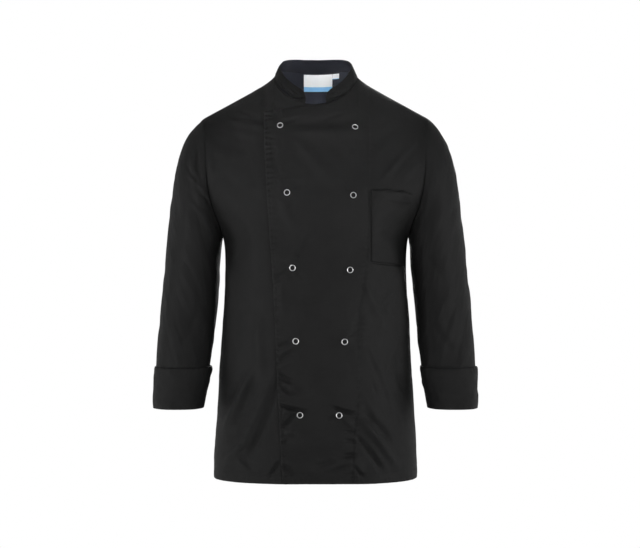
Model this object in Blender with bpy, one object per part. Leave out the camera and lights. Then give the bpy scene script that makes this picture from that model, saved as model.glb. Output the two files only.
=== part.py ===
"""Chef jacket: long sleeves, double-breasted, filled out as if worn but with nobody in it.

Frame: metres, +Z up, the front faces -Y and the wearer's left is +X. The origin is the middle of
the neck opening at the height of the shoulder seams, where a wearer's neck and shoulders hold it.

The torso's cloth is one smooth surface. Every panel is a grid of points on that surface, given a
wall towards the inside. A place on the surface is named by its share k across (-1 at the wearer's
right edge, 1 at the left) and its height z.
"""

import math

import bmesh
import bpy
import numpy as np
from mathutils import Vector
from mathutils.bvhtree import BVHTree

# ---- cloth ----
SEAM_GAP = 0.0003       # between two pieces that are sewn together
LAYER_GAP = 0.0008      # between the two fronts where one laps over the other
TWILL = 0.0015          # wall of the outer cloth
COLLAR_CLOTH = 0.0012   # wall of each of the collar's two layers
FACING = 0.0012
LABEL = 0.0010
CUFF_CLOTH = 0.0026     # the turned-up cuff is two layers

# ---- torso ----
HEM_Z = -0.7377
CHEST_Z = -0.2930       # height of the armpits
TIP_X = 0.2100          # shoulder tip, where the sleeve seam meets the shoulder seam
TIP_Z = -0.0690
SHOULDER_SLOPE = 0.545
SQUARENESS = 2.5        # exponent of the torso's sections
OUTLINE = {             # half width of the front view: side seams, then the armhole seams
    "z": (-0.7377, -0.7000, -0.6600, -0.5800, -0.5000, -0.4200, -0.3450, -0.3100,
          -0.2930, -0.2700, -0.2450, -0.2100, -0.1750, -0.1300, -0.1000, -0.0690),
    "half_width": (0.1903, 0.1893, 0.1870, 0.1815, 0.1772, 0.1722, 0.1700, 0.1714,
                   0.1736, 0.1785, 0.1875, 0.1965, 0.2003, 0.2020, 0.2050, 0.2100),
}
PROFILE = {             # how far the cloth stands before and behind the side seams
    "z": (-0.7377, -0.6600, -0.5800, -0.5000, -0.4200, -0.3450, -0.2930),
    "front": (0.1310, 0.1310, 0.1300, 0.1300, 0.1315, 0.1337, 0.1340),
    "back": (0.1240, 0.1200, 0.1140, 0.1085, 0.1085, 0.1172, 0.1190),
}
CHEST_ROUND = {-1: 2.0, 1: 2.3}      # exponent of the curve from armpit height over the shoulder
ARMHOLE_DEPTH = {-1: 0.055, 1: 0.062}  # from the shoulder seam to the armhole seam, front and back
ARMHOLE_FADE = 1.5      # how fast that depth fades out towards the middle
ARMHOLE_ROUND = 0.5     # exponent of the armhole's curve at its edge; softer away from it
EDGE_SHARE = 0.93       # share of the section that is left above the armpit, before the sleeve
EDGE_RISE = 0.045       # height over which the section opens at the armpit
TORSO_LEAN = 0.6        # how the walls' edges lean apart at the armhole and the neck
SLEEVE_LEAN = (0.5, 0.35)
NECK_LEAN = 0.30

# ---- neck ----
NECK_X = 0.0780         # where the shoulder seams end at the collar
NECK_SIDE_Z = 0.0090
NECK_FRONT_Z = -0.0480
NECK_BACK_Z = 0.0230
NECK_CROWN = 0.0580     # how far the back would rise above the shoulder seams without a neckline
NECK_RISE_FADE = 0.0120
COLLAR_END_ANGLE = 14.5  # degrees off the centre front where the collar's ends stop
COLLAR_TOP_X = 0.0665
COLLAR_TOP_Z = (0.0300, -0.0366, -0.0176)   # z = a + b cos + c cos2 of the angle off the front
COLLAR_TOP_Y = (-0.0100, -0.0535, 0.0080)   # y = a + b cos + c sin2
COLLAR_BULGE = 0.0012
COLLAR_CORNER = (0.48, 0.86)  # shares of the height at the end and at the next column
COLLAR_STEP = 0.4       # where that column stands between the end and the one after

# ---- fronts ----
LAP_CORNER = (-0.0948, -0.0597)   # x and z of the over front's top corner, seen from its own side
FREE_EDGE = {           # the over front's free edge
    "z": (-0.7377, -0.6000, -0.4900, -0.3600, -0.2100, -0.1100, -0.0597),
    "x": (-0.0590, -0.0603, -0.0635, -0.0727, -0.0822, -0.0882, -0.0948),
}
UNDER_RISES = (-0.0450, -0.0150)  # the under front comes up to the surface between these heights
UNDER_START = 3.0       # degrees past the lap where it starts to do so towards the side
UNDER_SIDE = 35.0       # degrees over which it does so
UNDER_EXTRA = 0.0025    # how much deeper its hidden top corner lies
UNDER_DEEPER = (-0.1500, -0.0900)    # heights between which it gets deeper
UNDER_WIDTH = 0.03      # distance from the middle over which it gets deeper
LAP_MARGIN = 0.0100     # the rows that both fronts share end this far below the lap's top edge

# ---- largest folds: straight troughs in the lower front ----
FOLDS = {
    "x_top": (-0.070, -0.098, -0.130, 0.0845, 0.0764, 0.135),
    "z_top": (-0.565, -0.552, -0.530, -0.585, -0.653, -0.520),
    "x_low": (-0.125, -0.158, -0.163, 0.1480, 0.1286, 0.158),
    "z_low": (-0.704, -0.677, -0.600, -0.709, -0.7175, -0.590),
    "width": (0.014, 0.016, 0.014, 0.015, 0.012, 0.015),
    "depth": (0.0045, 0.0035, 0.0025, 0.0040, 0.0035, 0.0025),
}

FOLD_FADE = 0.08        # share of the half width over which they fade out at the side seam

# ---- sleeve: a section for each row, from the armhole to inside the cuff ----
SLEEVE = {
    "outer_x": (0.2237, 0.2376, 0.2498, 0.2606, 0.2682, 0.2745, 0.2805, 0.2854, 0.2899, 0.2930, 0.2949,
                0.2953),
    "outer_z": (-0.0825, -0.1013, -0.1275, -0.1650, -0.2150, -0.2700, -0.3250, -0.3760, -0.4240, -0.4660,
                -0.5030, -0.5270),
    "inner_x": (0.1743, 0.1750, 0.1757, 0.1765, 0.1773, 0.1786, 0.1802, 0.1825, 0.1853, 0.1888, 0.1930,
                0.1955),
    "inner_z": (-0.2957, -0.2987, -0.3022, -0.3067, -0.3150, -0.3340, -0.3600, -0.3920, -0.4280, -0.4660,
                -0.5030, -0.5270),
    "middle_y": (0.0025, 0.0020, 0.0020, 0.0025, 0.0030, 0.0035, 0.0030, 0.0010, -0.0040, -0.0120,
                 -0.0220, -0.0300),
    "half_depth": (0.0625, 0.0655, 0.0675, 0.0685, 0.0688, 0.0680, 0.0660, 0.0635, 0.0600, 0.0560,
                   0.0520, 0.0490),
}
CAP_BLEND = 4           # rows over which the armhole's own curve fades out of the sleeve

# ---- turned-up cuff ----
CUFF = {
    "outer_x": (0.2995, 0.3003, 0.3003, 0.2985),
    "inner_x": (0.1920, 0.1962, 0.2025, 0.2070),
    "z": (-0.5310, -0.5560, -0.5830, -0.6035),
    "middle_y": (-0.0310, -0.0365, -0.0415, -0.0450),
    "half_depth": (0.0525, 0.0520, 0.0510, 0.0490),
}
CUFF_LIP = 0.0040       # how far the fold at the bottom turns in under the sleeve's end

# ---- trim ----
POCKET_X = (0.1010, 0.1760, 0.1010, 0.1590)   # top inner, top outer, bottom inner, bottom outer
POCKET_Z = (-0.2080, -0.2140, -0.3370, -0.3420)
POCKET_GAP = 0.0016      # over a flat facet; nearer over the edges between them
LABEL_X = (-0.0229, 0.0317)
LABEL_Z = (0.0205, -0.0120)
TAG_X = (0.0325, 0.0445)
TAG_Z = (0.0205, 0.0120)
STUD_OUTER = 0.0060     # radii of the press stud's ring
STUD_INNER = 0.0036
STUD_THICK = 0.0016
STUDS = {               # a row for each height, wearer's right and left column
    "right_x": (-0.0645, -0.0513, -0.0413, -0.0356, -0.0279),
    "right_z": (-0.0896, -0.2135, -0.3491, -0.4806, -0.6133),
    "left_x": (0.0718, 0.0680, 0.0621, 0.0523, 0.0424),
    "left_z": (-0.0927, -0.2181, -0.3527, -0.4817, -0.6138),
}

ROUND_OFF = 1e-9        # lengths this close are the same

# ---- grid sizes ----
TOP_STEPS = 40          # steps in which a column's top is found
ROWS_BELOW = 9          # hem to armpit height
ROWS_ABOVE = 10         # armpit height to neck or shoulder
SHARED_ROWS = 7         # rows above the armpits that both fronts share
SIDE_COLUMNS = 6
NECK_ANGLES = (14.5, 33.0, 52.0, 71.0, 90.0)
NECK_START = len(NECK_ANGLES) + 1   # a front's first column on its own half of the neck
FACING_ROWS = 4
STUD_SEGMENTS = 12
POCKET_ROWS = 19
POCKET_COLUMNS = 13

BLACK = (0.0185, 0.0185, 0.0190)
NAVY = (0.0210, 0.0225, 0.0330)
WHITE = (0.80, 0.82, 0.88)
STEEL = (0.62, 0.62, 0.64)


# ---------- curves ----------

def smooth_through(xs, ys, x):
    """Value at x of the smooth curve through the points of a table, held level past its ends."""
    xs = np.asarray(xs)
    ys = np.asarray(ys)
    x = min(max(x, xs[0]), xs[-1])
    slopes = np.gradient(ys, xs)
    i = min(max(int(np.searchsorted(xs, x)) - 1, 0), len(xs) - 2)
    width = xs[i + 1] - xs[i]
    t = (x - xs[i]) / width
    start = (2 * t**3 - 3 * t**2 + 1) * ys[i] + (t**3 - 2 * t**2 + t) * width * slopes[i]
    end = (3 * t**2 - 2 * t**3) * ys[i + 1] + (t**3 - t**2) * width * slopes[i + 1]
    return float(start + end)


def ease(t):
    """0 below 0, 1 above 1, and a smooth step between."""
    t = min(max(t, 0.0), 1.0)
    return t * t * (3 - 2 * t)


def half_width(z):
    return smooth_through(OUTLINE["z"], OUTLINE["half_width"], z)


def ridge_height(x, facing):
    """Height of the shoulder's ridge at x, carried on over the neck opening."""
    x = abs(x)
    line = TIP_Z + SHOULDER_SLOPE * (TIP_X - max(x, NECK_X))
    rise = NECK_SIDE_Z - TIP_Z - SHOULDER_SLOPE * (TIP_X - NECK_X)
    height = line + rise * math.exp(-max(x - NECK_X, 0.0) / NECK_RISE_FADE)
    if x < NECK_X - ROUND_OFF and facing > 0:
        height += NECK_CROWN * math.sqrt(1 - (x / NECK_X) ** 2)
    return height


def neck_height(x, facing):
    """Height of the neck seam at x, for |x| up to the end of the shoulder seam."""
    cosine = -facing * math.sqrt(max(1 - (x / NECK_X) ** 2, 0.0))
    slope = (NECK_FRONT_Z - NECK_BACK_Z) / 2
    bend = (NECK_FRONT_Z + NECK_BACK_Z) / 2 - NECK_SIDE_Z
    return NECK_SIDE_Z + slope * cosine + bend * cosine**2


def front_top(x, side):
    """Height of a front's top edge: shoulder, neck seam, then the straight edge of the lap."""
    own = x * side
    if own > NECK_X - ROUND_OFF:
        return ridge_height(x, -1)
    end = NECK_X * math.sin(math.radians(COLLAR_END_ANGLE))
    if own >= end:
        return neck_height(x, -1)
    corner_x, corner_z = LAP_CORNER
    share = (own - corner_x) / (end - corner_x)
    return corner_z + share * (neck_height(end, -1) - corner_z)


def back_top(x, _side):
    return ridge_height(x, 1) if abs(x) > NECK_X - ROUND_OFF else neck_height(x, 1)


def top_of_column(share_at, top, side):
    """Height where a column meets a top edge; share_at gives its share across at a height."""
    z = TIP_Z
    for _ in range(TOP_STEPS):
        z = top(share_at(z) * half_width(z), side)
    return z


# ---------- the torso's surface ----------

def torso_point(facing, k, z):
    """Point of the torso's outer surface; facing is -1 on the front and 1 on the back."""
    half = half_width(z)
    x = k * half
    column = "front" if facing < 0 else "back"
    k = min(abs(k), 1.0)
    if z <= CHEST_Z:
        depth = smooth_through(PROFILE["z"], PROFILE[column], z)
        return np.array((x, facing * depth * (1 - k**SQUARENESS) ** (1 / SQUARENESS), z))
    share = 1 - (1 - EDGE_SHARE) * ease((z - CHEST_Z) / EDGE_RISE)
    edge = (1 - share**SQUARENESS) ** (1 / SQUARENESS)
    fullness = ((1 - (k * share) ** SQUARENESS) ** (1 / SQUARENESS) - edge) / (1 - edge)
    rise = min((z - CHEST_Z + ROUND_OFF) / (ridge_height(x, facing) - CHEST_Z), 1.0)
    bend = CHEST_ROUND[facing]
    body = PROFILE[column][-1] * (1 - rise**bend) ** (1 / bend)
    arm = ARMHOLE_DEPTH[facing] * (4 * rise * (1 - rise)) ** (ARMHOLE_ROUND + fullness)
    return np.array((x, facing * (arm * (1 - fullness) ** ARMHOLE_FADE + body * fullness), z))


def section_angle(k):
    """Angle in degrees that names a share across evenly round the section."""
    return math.degrees(math.asin(math.copysign(abs(k) ** (SQUARENESS / 2), k)))


def section_share(angle):
    sine = math.sin(math.radians(angle))
    return math.copysign(abs(sine) ** (2 / SQUARENESS), sine)


def fold_depth(x, z):
    """How far the largest folds press the front in at a place."""
    total = 0.0
    for x0, z0, x1, z1, width, depth in zip(*FOLDS.values()):
        run = Vector((x1 - x0, z1 - z0))
        along = (Vector((x, z)) - Vector((x0, z0))).dot(run) / run.length_squared
        nearest = Vector((x0, z0)) + run * min(max(along, 0.0), 1.0)
        off = (Vector((x, z)) - nearest).length
        total += depth * math.exp(-((off / width) ** 2))
    return total


def grid_normals(points):
    """Unit normals of a grid, on the side where columns by rows turn to the right hand."""
    across = np.gradient(points, axis=1)
    up = np.gradient(points, axis=0)
    normals = np.cross(across, up)
    return normals / np.linalg.norm(normals, axis=2, keepdims=True)


def row_heights(top, shared_top=None):
    """Heights of a column's rows from the hem up; the rows that both fronts share end at shared_top."""
    heights = list(np.linspace(HEM_Z, CHEST_Z, ROWS_BELOW + 1))
    steps = [(1 - math.cos(math.pi * i / ROWS_ABOVE)) / 2 for i in range(ROWS_ABOVE + 1)]
    turn = steps[SHARED_ROWS]
    if shared_top is None:
        shared_top = CHEST_Z + turn * (top - CHEST_Z)
    for step in steps[1:SHARED_ROWS + 1]:
        heights.append(CHEST_Z + step / turn * (shared_top - CHEST_Z))
    for step in steps[SHARED_ROWS + 1:]:
        heights.append(shared_top + (step - turn) / (1 - turn) * (top - shared_top))
    return heights


def unit(vector):
    return vector / np.linalg.norm(vector)


def into_armhole(point, sideways):
    """Direction from the armhole's edge towards its middle, leaning sideways by a share."""
    middle = unit(np.array((0.0, -point[1], (CHEST_Z + TIP_Z) / 2 - point[2])))
    return unit(middle + np.array((sideways, 0.0, 0.0)))


def torso_inward(points, facing, edges, neck):
    """Directions in which a torso panel's wall is built.

    edges holds the column and side of each side seam, neck the column and angle of each point of
    the neck seam.
    """
    inward = grid_normals(points) * facing
    for column, side in edges:
        inward[:, column, 1] = 0.0
        for row in range(ROWS_BELOW, len(points)):
            inward[row, column] = into_armhole(points[row, column], -side * TORSO_LEAN)
    for column in range(points.shape[1]):
        if abs(points[-1, column, 0]) > NECK_X - SEAM_GAP:
            inward[-1, column, 1] = 0.0
    for column, angle in neck:
        rise = unit(collar_edge(angle) - points[-1, column])
        along = inward[-1, column].dot(rise)
        inward[-1, column] -= rise * (max(along, 0.0) + NECK_LEAN)
    return inward / np.linalg.norm(inward, axis=2, keepdims=True)


def lap_shares(z):
    """Shares across of the columns of the lap, from the over front's free edge to its mirror."""
    edge = smooth_through(FREE_EDGE["z"], FREE_EDGE["x"], z)
    angle = section_angle(abs(edge) / half_width(z))
    top_angle = section_angle(abs(FREE_EDGE["x"][-1]) / TIP_X)
    stops = [NECK_X * math.sin(math.radians(a)) / TIP_X for a in NECK_ANGLES]
    stops = [section_angle(stop) / top_angle for stop in stops] + [1.0]
    shares = [section_share(angle * stop) for stop in stops]
    return [-share for share in reversed(shares)] + shares


def front_shares(z, side):
    """Shares across of all columns of a front, from its free edge to its own side seam."""
    lap = [share * side for share in lap_shares(z)]
    start = section_angle(abs(lap[-1]))
    angles = np.linspace(start, 90.0, SIDE_COLUMNS + 1)[1:]
    return lap + [side * section_share(angle) for angle in angles]


def front_grid(side):
    """Outer points of a front: side 1 is the wearer's left, which laps over the other."""
    columns = len(front_shares(HEM_Z, side))
    lap_columns = columns - SIDE_COLUMNS
    points = np.zeros((ROWS_BELOW + ROWS_ABOVE + 1, columns, 3))
    for column in range(columns):
        def share_at(z, column=column):
            return front_shares(z, side)[column]

        top = top_of_column(share_at, front_top, side)
        shared_top = None
        if column < lap_columns:
            shared_top = min(top, top_of_column(share_at, front_top, -side)) - LAP_MARGIN
        for row, z in enumerate(row_heights(top, shared_top)):
            points[row, column] = torso_point(-1, share_at(z), z)
    return points


def press_folds(points):
    """The front's points with the largest folds pressed in, fading out at the side seam."""
    inward = grid_normals(points) * (-1 if points[0, -1, 0] > 0 else 1)
    for row in range(points.shape[0]):
        for column in range(points.shape[1]):
            x, _, z = points[row, column]
            share = abs(x) / half_width(z)
            fade = ease((1 - share) / FOLD_FADE)
            points[row, column] += inward[row, column] * fold_depth(x, z) * fade
    return points


def sink_under_front(points):
    """The wearer's right front, moved in under the lap and coming up to the surface around it."""
    inward = grid_normals(points)
    for row in range(points.shape[0]):
        for column in range(points.shape[1]):
            x, _, z = points[row, column]
            edge = smooth_through(FREE_EDGE["z"], FREE_EDGE["x"], z)
            lap_angle = section_angle(abs(edge) / half_width(z)) + UNDER_START
            angle = section_angle(max(-x / half_width(z), 0.0))
            beside = ease((angle - lap_angle) / UNDER_SIDE)
            above = ease((z - UNDER_RISES[0]) / (UNDER_RISES[1] - UNDER_RISES[0]))
            deeper = ease((z - UNDER_DEEPER[0]) / (UNDER_DEEPER[1] - UNDER_DEEPER[0]))
            hidden = ease(x / UNDER_WIDTH) * deeper
            sunk = (TWILL + LAYER_GAP) * (1 - beside) * (1 - above) + UNDER_EXTRA * hidden
            points[row, column] += inward[row, column] * sunk
    return points


def back_grid():
    """Outer points of the back, from the wearer's right side seam to the left one."""
    neck = [section_angle(NECK_X * math.sin(math.radians(a)) / TIP_X) for a in NECK_ANGLES]
    lap_angle = section_angle(abs(FREE_EDGE["x"][-1]) / TIP_X)
    side = list(np.linspace(lap_angle, 90.0, SIDE_COLUMNS + 1))
    angles = [0.0] + neck + side
    angles = [-angle for angle in reversed(angles[1:])] + angles
    points = np.zeros((ROWS_BELOW + ROWS_ABOVE + 1, len(angles), 3))
    for column, angle in enumerate(angles):
        share = section_share(angle)
        top = top_of_column(lambda _z, share=share: share, back_top, 1)
        for row, z in enumerate(row_heights(top)):
            points[row, column] = torso_point(1, share, z)
    return points


# ---------- sleeves and cuffs ----------

def armhole_ring(front, back, side):
    """The armhole's edge, from the armpit up the front to the shoulder tip and down the back."""
    front_edge = front[ROWS_BELOW:, -1]
    back_edge = back[ROWS_BELOW:, -1 if side > 0 else 0]
    ring = np.concatenate((front_edge, back_edge[-2:0:-1]))
    ring[0, 1] = 0.0
    ring[ROWS_ABOVE, 1] = 0.0
    ring[:, 0] += side * SEAM_GAP
    return ring


def ring_angles(count):
    """Angle off the sleeve's outer edge of each point of a ring that starts at its inner edge."""
    return [math.pi - math.tau * i / count for i in range(count)]


def oval_ring(outer, inner, middle_y, half_depth, count):
    """A closed section of a sleeve between its outer and inner edge in the front view."""
    points = []
    for angle in ring_angles(count):
        across = 0.5 + 0.5 * math.cos(angle)
        x = inner[0] + (outer[0] - inner[0]) * across
        z = inner[1] + (outer[1] - inner[1]) * across
        points.append((x, middle_y - half_depth * math.sin(angle), z))
    return np.array(points)


def sleeve_grid(ring, side):
    """Outer points of a sleeve: the armhole's edge, then a ring for each row of its table."""
    count = len(ring)
    rows = [ring]
    tip = ring[ROWS_ABOVE]
    pit = ring[0]
    plain = oval_ring((tip[0], tip[2]), (pit[0], pit[2]), 0.0, 0.0, count)
    swell = ring[:, 0] - plain[:, 0]
    table = zip(*SLEEVE.values())
    for number, (ox, oz, ix, iz, middle, depth) in enumerate(table, start=1):
        points = oval_ring((side * ox, oz), (side * ix, iz), middle, depth, count)
        points[:, 0] += swell * max(1 - number / CAP_BLEND, 0.0)
        rows.append(points)
    inside = cuff_rows(side, count, CUFF_CLOTH + LAYER_GAP)[1:]
    inside[-1][:, 2] += CUFF_CLOTH / 2 + SEAM_GAP
    return np.array(rows + inside)


def sleeve_inward(points, side):
    """Directions in which the sleeve's wall is built, matched to the torso's at the armhole."""
    closed = np.concatenate((points[:, -1:], points, points[:, :1]), axis=1)
    inward = grid_normals(closed)[:, 1:-1] * side
    for column, angle in enumerate(ring_angles(points.shape[1])):
        lean = SLEEVE_LEAN[0] - SLEEVE_LEAN[1] * math.cos(angle)
        inward[0, column] = into_armhole(points[0, column], side * lean)
    return inward


def cuff_rows(side, count, inset):
    """Rings of the turned-up cuff, inset towards the arm by a distance."""
    rows = []
    for ox, ix, z, middle, depth in zip(*CUFF.values()):
        outer = (side * (ox - inset), z)
        inner = (side * (ix + inset), z)
        rows.append(oval_ring(outer, inner, middle, depth - inset, count))
    return rows


# ---------- solids ----------

def material(name, colour, roughness, metallic=0.0):
    made = bpy.data.materials.new(name)
    made.use_nodes = True
    shader = made.node_tree.nodes["Principled BSDF"]
    shader.inputs["Base Color"].default_value = (*colour, 1.0)
    shader.inputs["Roughness"].default_value = roughness
    shader.inputs["Metallic"].default_value = metallic
    return made


def solid(name, points, faces, colour, roughness=0.8, metallic=0.0):
    """One closed body, with its faces turned outwards."""
    mesh = bpy.data.meshes.new(name)
    mesh.from_pydata([tuple(p) for p in points], [], faces)
    shape = bmesh.new()
    shape.from_mesh(mesh)
    bmesh.ops.recalc_face_normals(shape, faces=shape.faces)
    shape.to_mesh(mesh)
    shape.free()
    mesh.materials.append(material(name, colour, roughness, metallic))
    made = bpy.data.objects.new(name, mesh)
    bpy.context.collection.objects.link(made)
    return made


def split(corners):
    """Two triangles over four corners, always cut from the first to the third."""
    a, b, c, d = corners
    return [(a, b, c), (a, c, d)]


def walled(name, outer, inner, colour, ring=False, roughness=0.8):
    """A cloth wall between two grids of points; a ring's last column joins its first."""
    rows, columns = outer.shape[:2]
    count = rows * columns
    spans = columns if ring else columns - 1
    faces = []
    for row in range(rows - 1):
        for column in range(spans):
            a = row * columns + column
            b = row * columns + (column + 1) % columns
            outside = split((a, b, b + columns, a + columns))
            faces += outside
            faces += [tuple(corner + count for corner in reversed(face)) for face in outside]
    rims = []
    for row in (0, rows - 1):
        rims += [(row * columns + c, row * columns + (c + 1) % columns) for c in range(spans)]
    if not ring:
        for column in (0, columns - 1):
            rims += [(r * columns + column, (r + 1) * columns + column) for r in range(rows - 1)]
    for a, b in rims:
        faces += split((a, b, count + b, count + a))
    points = np.concatenate((outer.reshape(-1, 3), inner.reshape(-1, 3)))
    return solid(name, points, faces, colour, roughness)


def make_front(name, points, side):
    neck = [(NECK_START + i, side * angle) for i, angle in enumerate(NECK_ANGLES)]
    inward = torso_inward(points, -side, [(-1, side)], neck)
    points = points - np.array((0.0, SEAM_GAP / 2, 0.0))
    return walled(name, points, points + inward * TWILL, BLACK), points


def make_back(points):
    last = points.shape[1] - 1
    quarter = [(SIDE_COLUMNS + 1 + i, 180.0 - angle) for i, angle in enumerate(NECK_ANGLES[::-1])]
    neck = [(last // 2, 180.0)]
    for column, angle in quarter:
        neck += [(column, -angle), (last - column, angle)]
    inward = torso_inward(points, 1, [(0, -1), (-1, 1)], neck)
    points = points + np.array((0.0, SEAM_GAP / 2, 0.0))
    walled("back", points, points + inward * TWILL, BLACK)
    return points, inward


def make_sleeve(name, ring, side):
    points = sleeve_grid(ring, side)
    walled(name, points, points + sleeve_inward(points, side) * TWILL, BLACK, ring=True)


def make_cuff(name, count, side):
    """A turned-up cuff whose fold turns in under the sleeve's end."""
    outer = cuff_rows(side, count, 0.0)
    inner = cuff_rows(side, count, CUFF_CLOTH)
    lip = cuff_rows(side, count, CUFF_CLOTH + CUFF_LIP)[-1]
    inner[-1][:, 2] += CUFF_CLOTH / 2
    outer.append(lip - np.array((0.0, 0.0, CUFF_CLOTH / 4)))
    inner.append(lip + np.array((0.0, 0.0, CUFF_CLOTH / 2)))
    walled(name, np.array(outer), np.array(inner), BLACK, ring=True)


def collar_bottom(over, under, back):
    """The neck seam's points and their angles, from the collar's right end round to its left."""
    own = slice(NECK_START, NECK_START + len(NECK_ANGLES))
    first = SIDE_COLUMNS + 1
    behind = back[-1, first + 1:-first - 1]
    points = list(under[-1, own]) + list(behind) + list(over[-1, own][::-1])
    turn = [180.0 - angle for angle in NECK_ANGLES[-2::-1]]
    quarter = list(NECK_ANGLES) + turn
    angles = [-angle for angle in quarter] + [180.0] + quarter[::-1]
    for values in (points, angles):
        values.insert(1, values[0] + (values[1] - values[0]) * COLLAR_STEP)
        values.insert(-1, values[-1] + (values[-2] - values[-1]) * COLLAR_STEP)
    return np.array(points), angles


def collar_edge(angle):
    """Point of the collar's top edge at an angle in degrees off the centre front."""
    turn = math.radians(angle)
    cosine = math.cos(turn)
    sine = math.sin(turn)
    y = COLLAR_TOP_Y[0] + COLLAR_TOP_Y[1] * cosine + COLLAR_TOP_Y[2] * sine**2
    z = COLLAR_TOP_Z[0] + COLLAR_TOP_Z[1] * cosine + COLLAR_TOP_Z[2] * cosine**2
    return np.array((COLLAR_TOP_X * sine, y, z))


def collar_grid(bottom, angles):
    """Outer points of the stand collar, from the neck seam up to its top edge."""
    last = len(angles) - 1
    shares = {0: COLLAR_CORNER[0], last: COLLAR_CORNER[0], 1: COLLAR_CORNER[1], last - 1: COLLAR_CORNER[1]}
    rows = []
    for part in (0.0, 1 / 3, 2 / 3, 1.0):
        row = []
        for number, (foot, angle) in enumerate(zip(bottom, angles)):
            rise = collar_edge(angle) - foot
            start = foot + rise / np.linalg.norm(rise) * SEAM_GAP
            away = np.array((foot[0], foot[1], 0.0))
            away /= np.linalg.norm(away)
            height = part * shares.get(number, 1.0)
            row.append(start + rise * height + away * COLLAR_BULGE * 4 * height * (1 - height))
        rows.append(row)
    return np.array(rows)


def make_collar(over, under, back):
    bottom, angles = collar_bottom(over, under, back)
    points = collar_grid(bottom, angles)
    inward = grid_normals(points)
    inside = points + inward * COLLAR_CLOTH
    walled("collar", points, inside, BLACK)
    lining = inside + inward * SEAM_GAP
    walled("collar_lining", lining, lining + inward * COLLAR_CLOTH, NAVY)


def make_facing(back, inward):
    """Facing on the inside of the back below the neck seam, from the back's own points."""
    first = SIDE_COLUMNS + 1
    block = (slice(-1 - FACING_ROWS, None), slice(first, -first))
    points = back[block] + inward[block] * (TWILL + SEAM_GAP)
    return walled("neck_facing", points, points + inward[block] * FACING, NAVY)


def seat_finder(carrier):
    """A function that gives the point and outward direction of a piece's side facing the front."""
    mesh = carrier.data
    corners = [vertex.co for vertex in mesh.vertices]
    tree = BVHTree.FromPolygons(corners, [tuple(face.vertices) for face in mesh.polygons])

    def seat(x, z, start=-1.0):
        place, normal, _, _ = tree.ray_cast(Vector((x, start, z)), Vector((0.0, 1.0, 0.0)))
        return place, normal

    return seat


def make_tab(name, seat, xs, zs, colour):
    """A flat label laid on what is behind it, from its left to its right edge and bottom to top."""
    rows = []
    for z in np.linspace(zs[1], zs[0], 3):
        rows.append([np.array(seat(x, z)[0]) for x in np.linspace(xs[0], xs[1], 4)])
    points = np.array(rows)
    outward = grid_normals(points)
    walled(name, points + outward * (SEAM_GAP + LABEL), points + outward * SEAM_GAP, colour)


def make_pocket(seat):
    """The patch pocket, from points of the over front moved out."""
    inner_top, outer_top, inner_low, outer_low = np.array(list(zip(POCKET_X, POCKET_Z)))
    rows = []
    for v in np.linspace(0.0, 1.0, POCKET_ROWS):
        row = []
        for u in np.linspace(0.0, 1.0, POCKET_COLUMNS):
            low = inner_low * (1 - u) + outer_low * u
            top = inner_top * (1 - u) + outer_top * u
            x, z = low * (1 - v) + top * v
            row.append(np.array(seat(x, z)[0]))
        rows.append(row)
    points = np.array(rows)
    outward = grid_normals(points)
    walled("chest_pocket", points + outward * (POCKET_GAP + TWILL), points + outward * POCKET_GAP, BLACK)


def make_stud(name, place, normal):
    """A press stud's ring, standing on its carrier along the normal."""
    middle = (STUD_OUTER + STUD_INNER) / 2
    profile = ((STUD_INNER, 0.0), (STUD_OUTER, 0.0), (STUD_OUTER, STUD_THICK / 2),
               (middle, STUD_THICK), (STUD_INNER, STUD_THICK / 2))
    turn = normal.to_track_quat("Z", "Y")
    points = []
    faces = []
    sides = len(profile)
    for i in range(STUD_SEGMENTS):
        angle = math.tau * i / STUD_SEGMENTS
        for radius, height in profile:
            local = Vector((radius * math.cos(angle), radius * math.sin(angle), height + SEAM_GAP))
            points.append(place + turn @ local)
        for j in range(sides):
            a = i * sides + j
            b = i * sides + (j + 1) % sides
            c = ((i + 1) % STUD_SEGMENTS) * sides + (j + 1) % sides
            d = ((i + 1) % STUD_SEGMENTS) * sides + j
            faces.append((a, b, c, d))
    solid(name, points, faces, STEEL, roughness=0.25, metallic=1.0)


def make_studs(seat):
    for number in range(len(STUDS["right_x"])):
        for side in ("right", "left"):
            place, normal = seat(STUDS[side + "_x"][number], STUDS[side + "_z"][number])
            make_stud(f"stud_{side}_{number + 1}", place, normal)


def main():
    for old in list(bpy.data.objects):
        bpy.data.objects.remove(old)
    over = press_folds(front_grid(1))
    under = sink_under_front(press_folds(front_grid(-1)))
    over_front, over = make_front("front_left", over, 1)
    _, under = make_front("front_right", under, -1)
    back, back_inward = make_back(back_grid())
    for side, name, front in ((1, "left", over), (-1, "right", under)):
        ring = armhole_ring(front, back, side)
        make_sleeve("sleeve_" + name, ring, side)
        make_cuff("cuff_" + name, len(ring), side)
    make_collar(over, under, back)
    facing = make_facing(back, back_inward)
    inside = seat_finder(facing)
    make_tab("neck_label", inside, LABEL_X, LABEL_Z, WHITE)
    make_tab("size_tag", inside, TAG_X, TAG_Z, WHITE)
    outside = seat_finder(over_front)
    make_pocket(outside)
    make_studs(outside)


main()
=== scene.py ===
import math

import bpy
import numpy as np
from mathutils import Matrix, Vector
from mathutils.bvhtree import BVHTree


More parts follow.
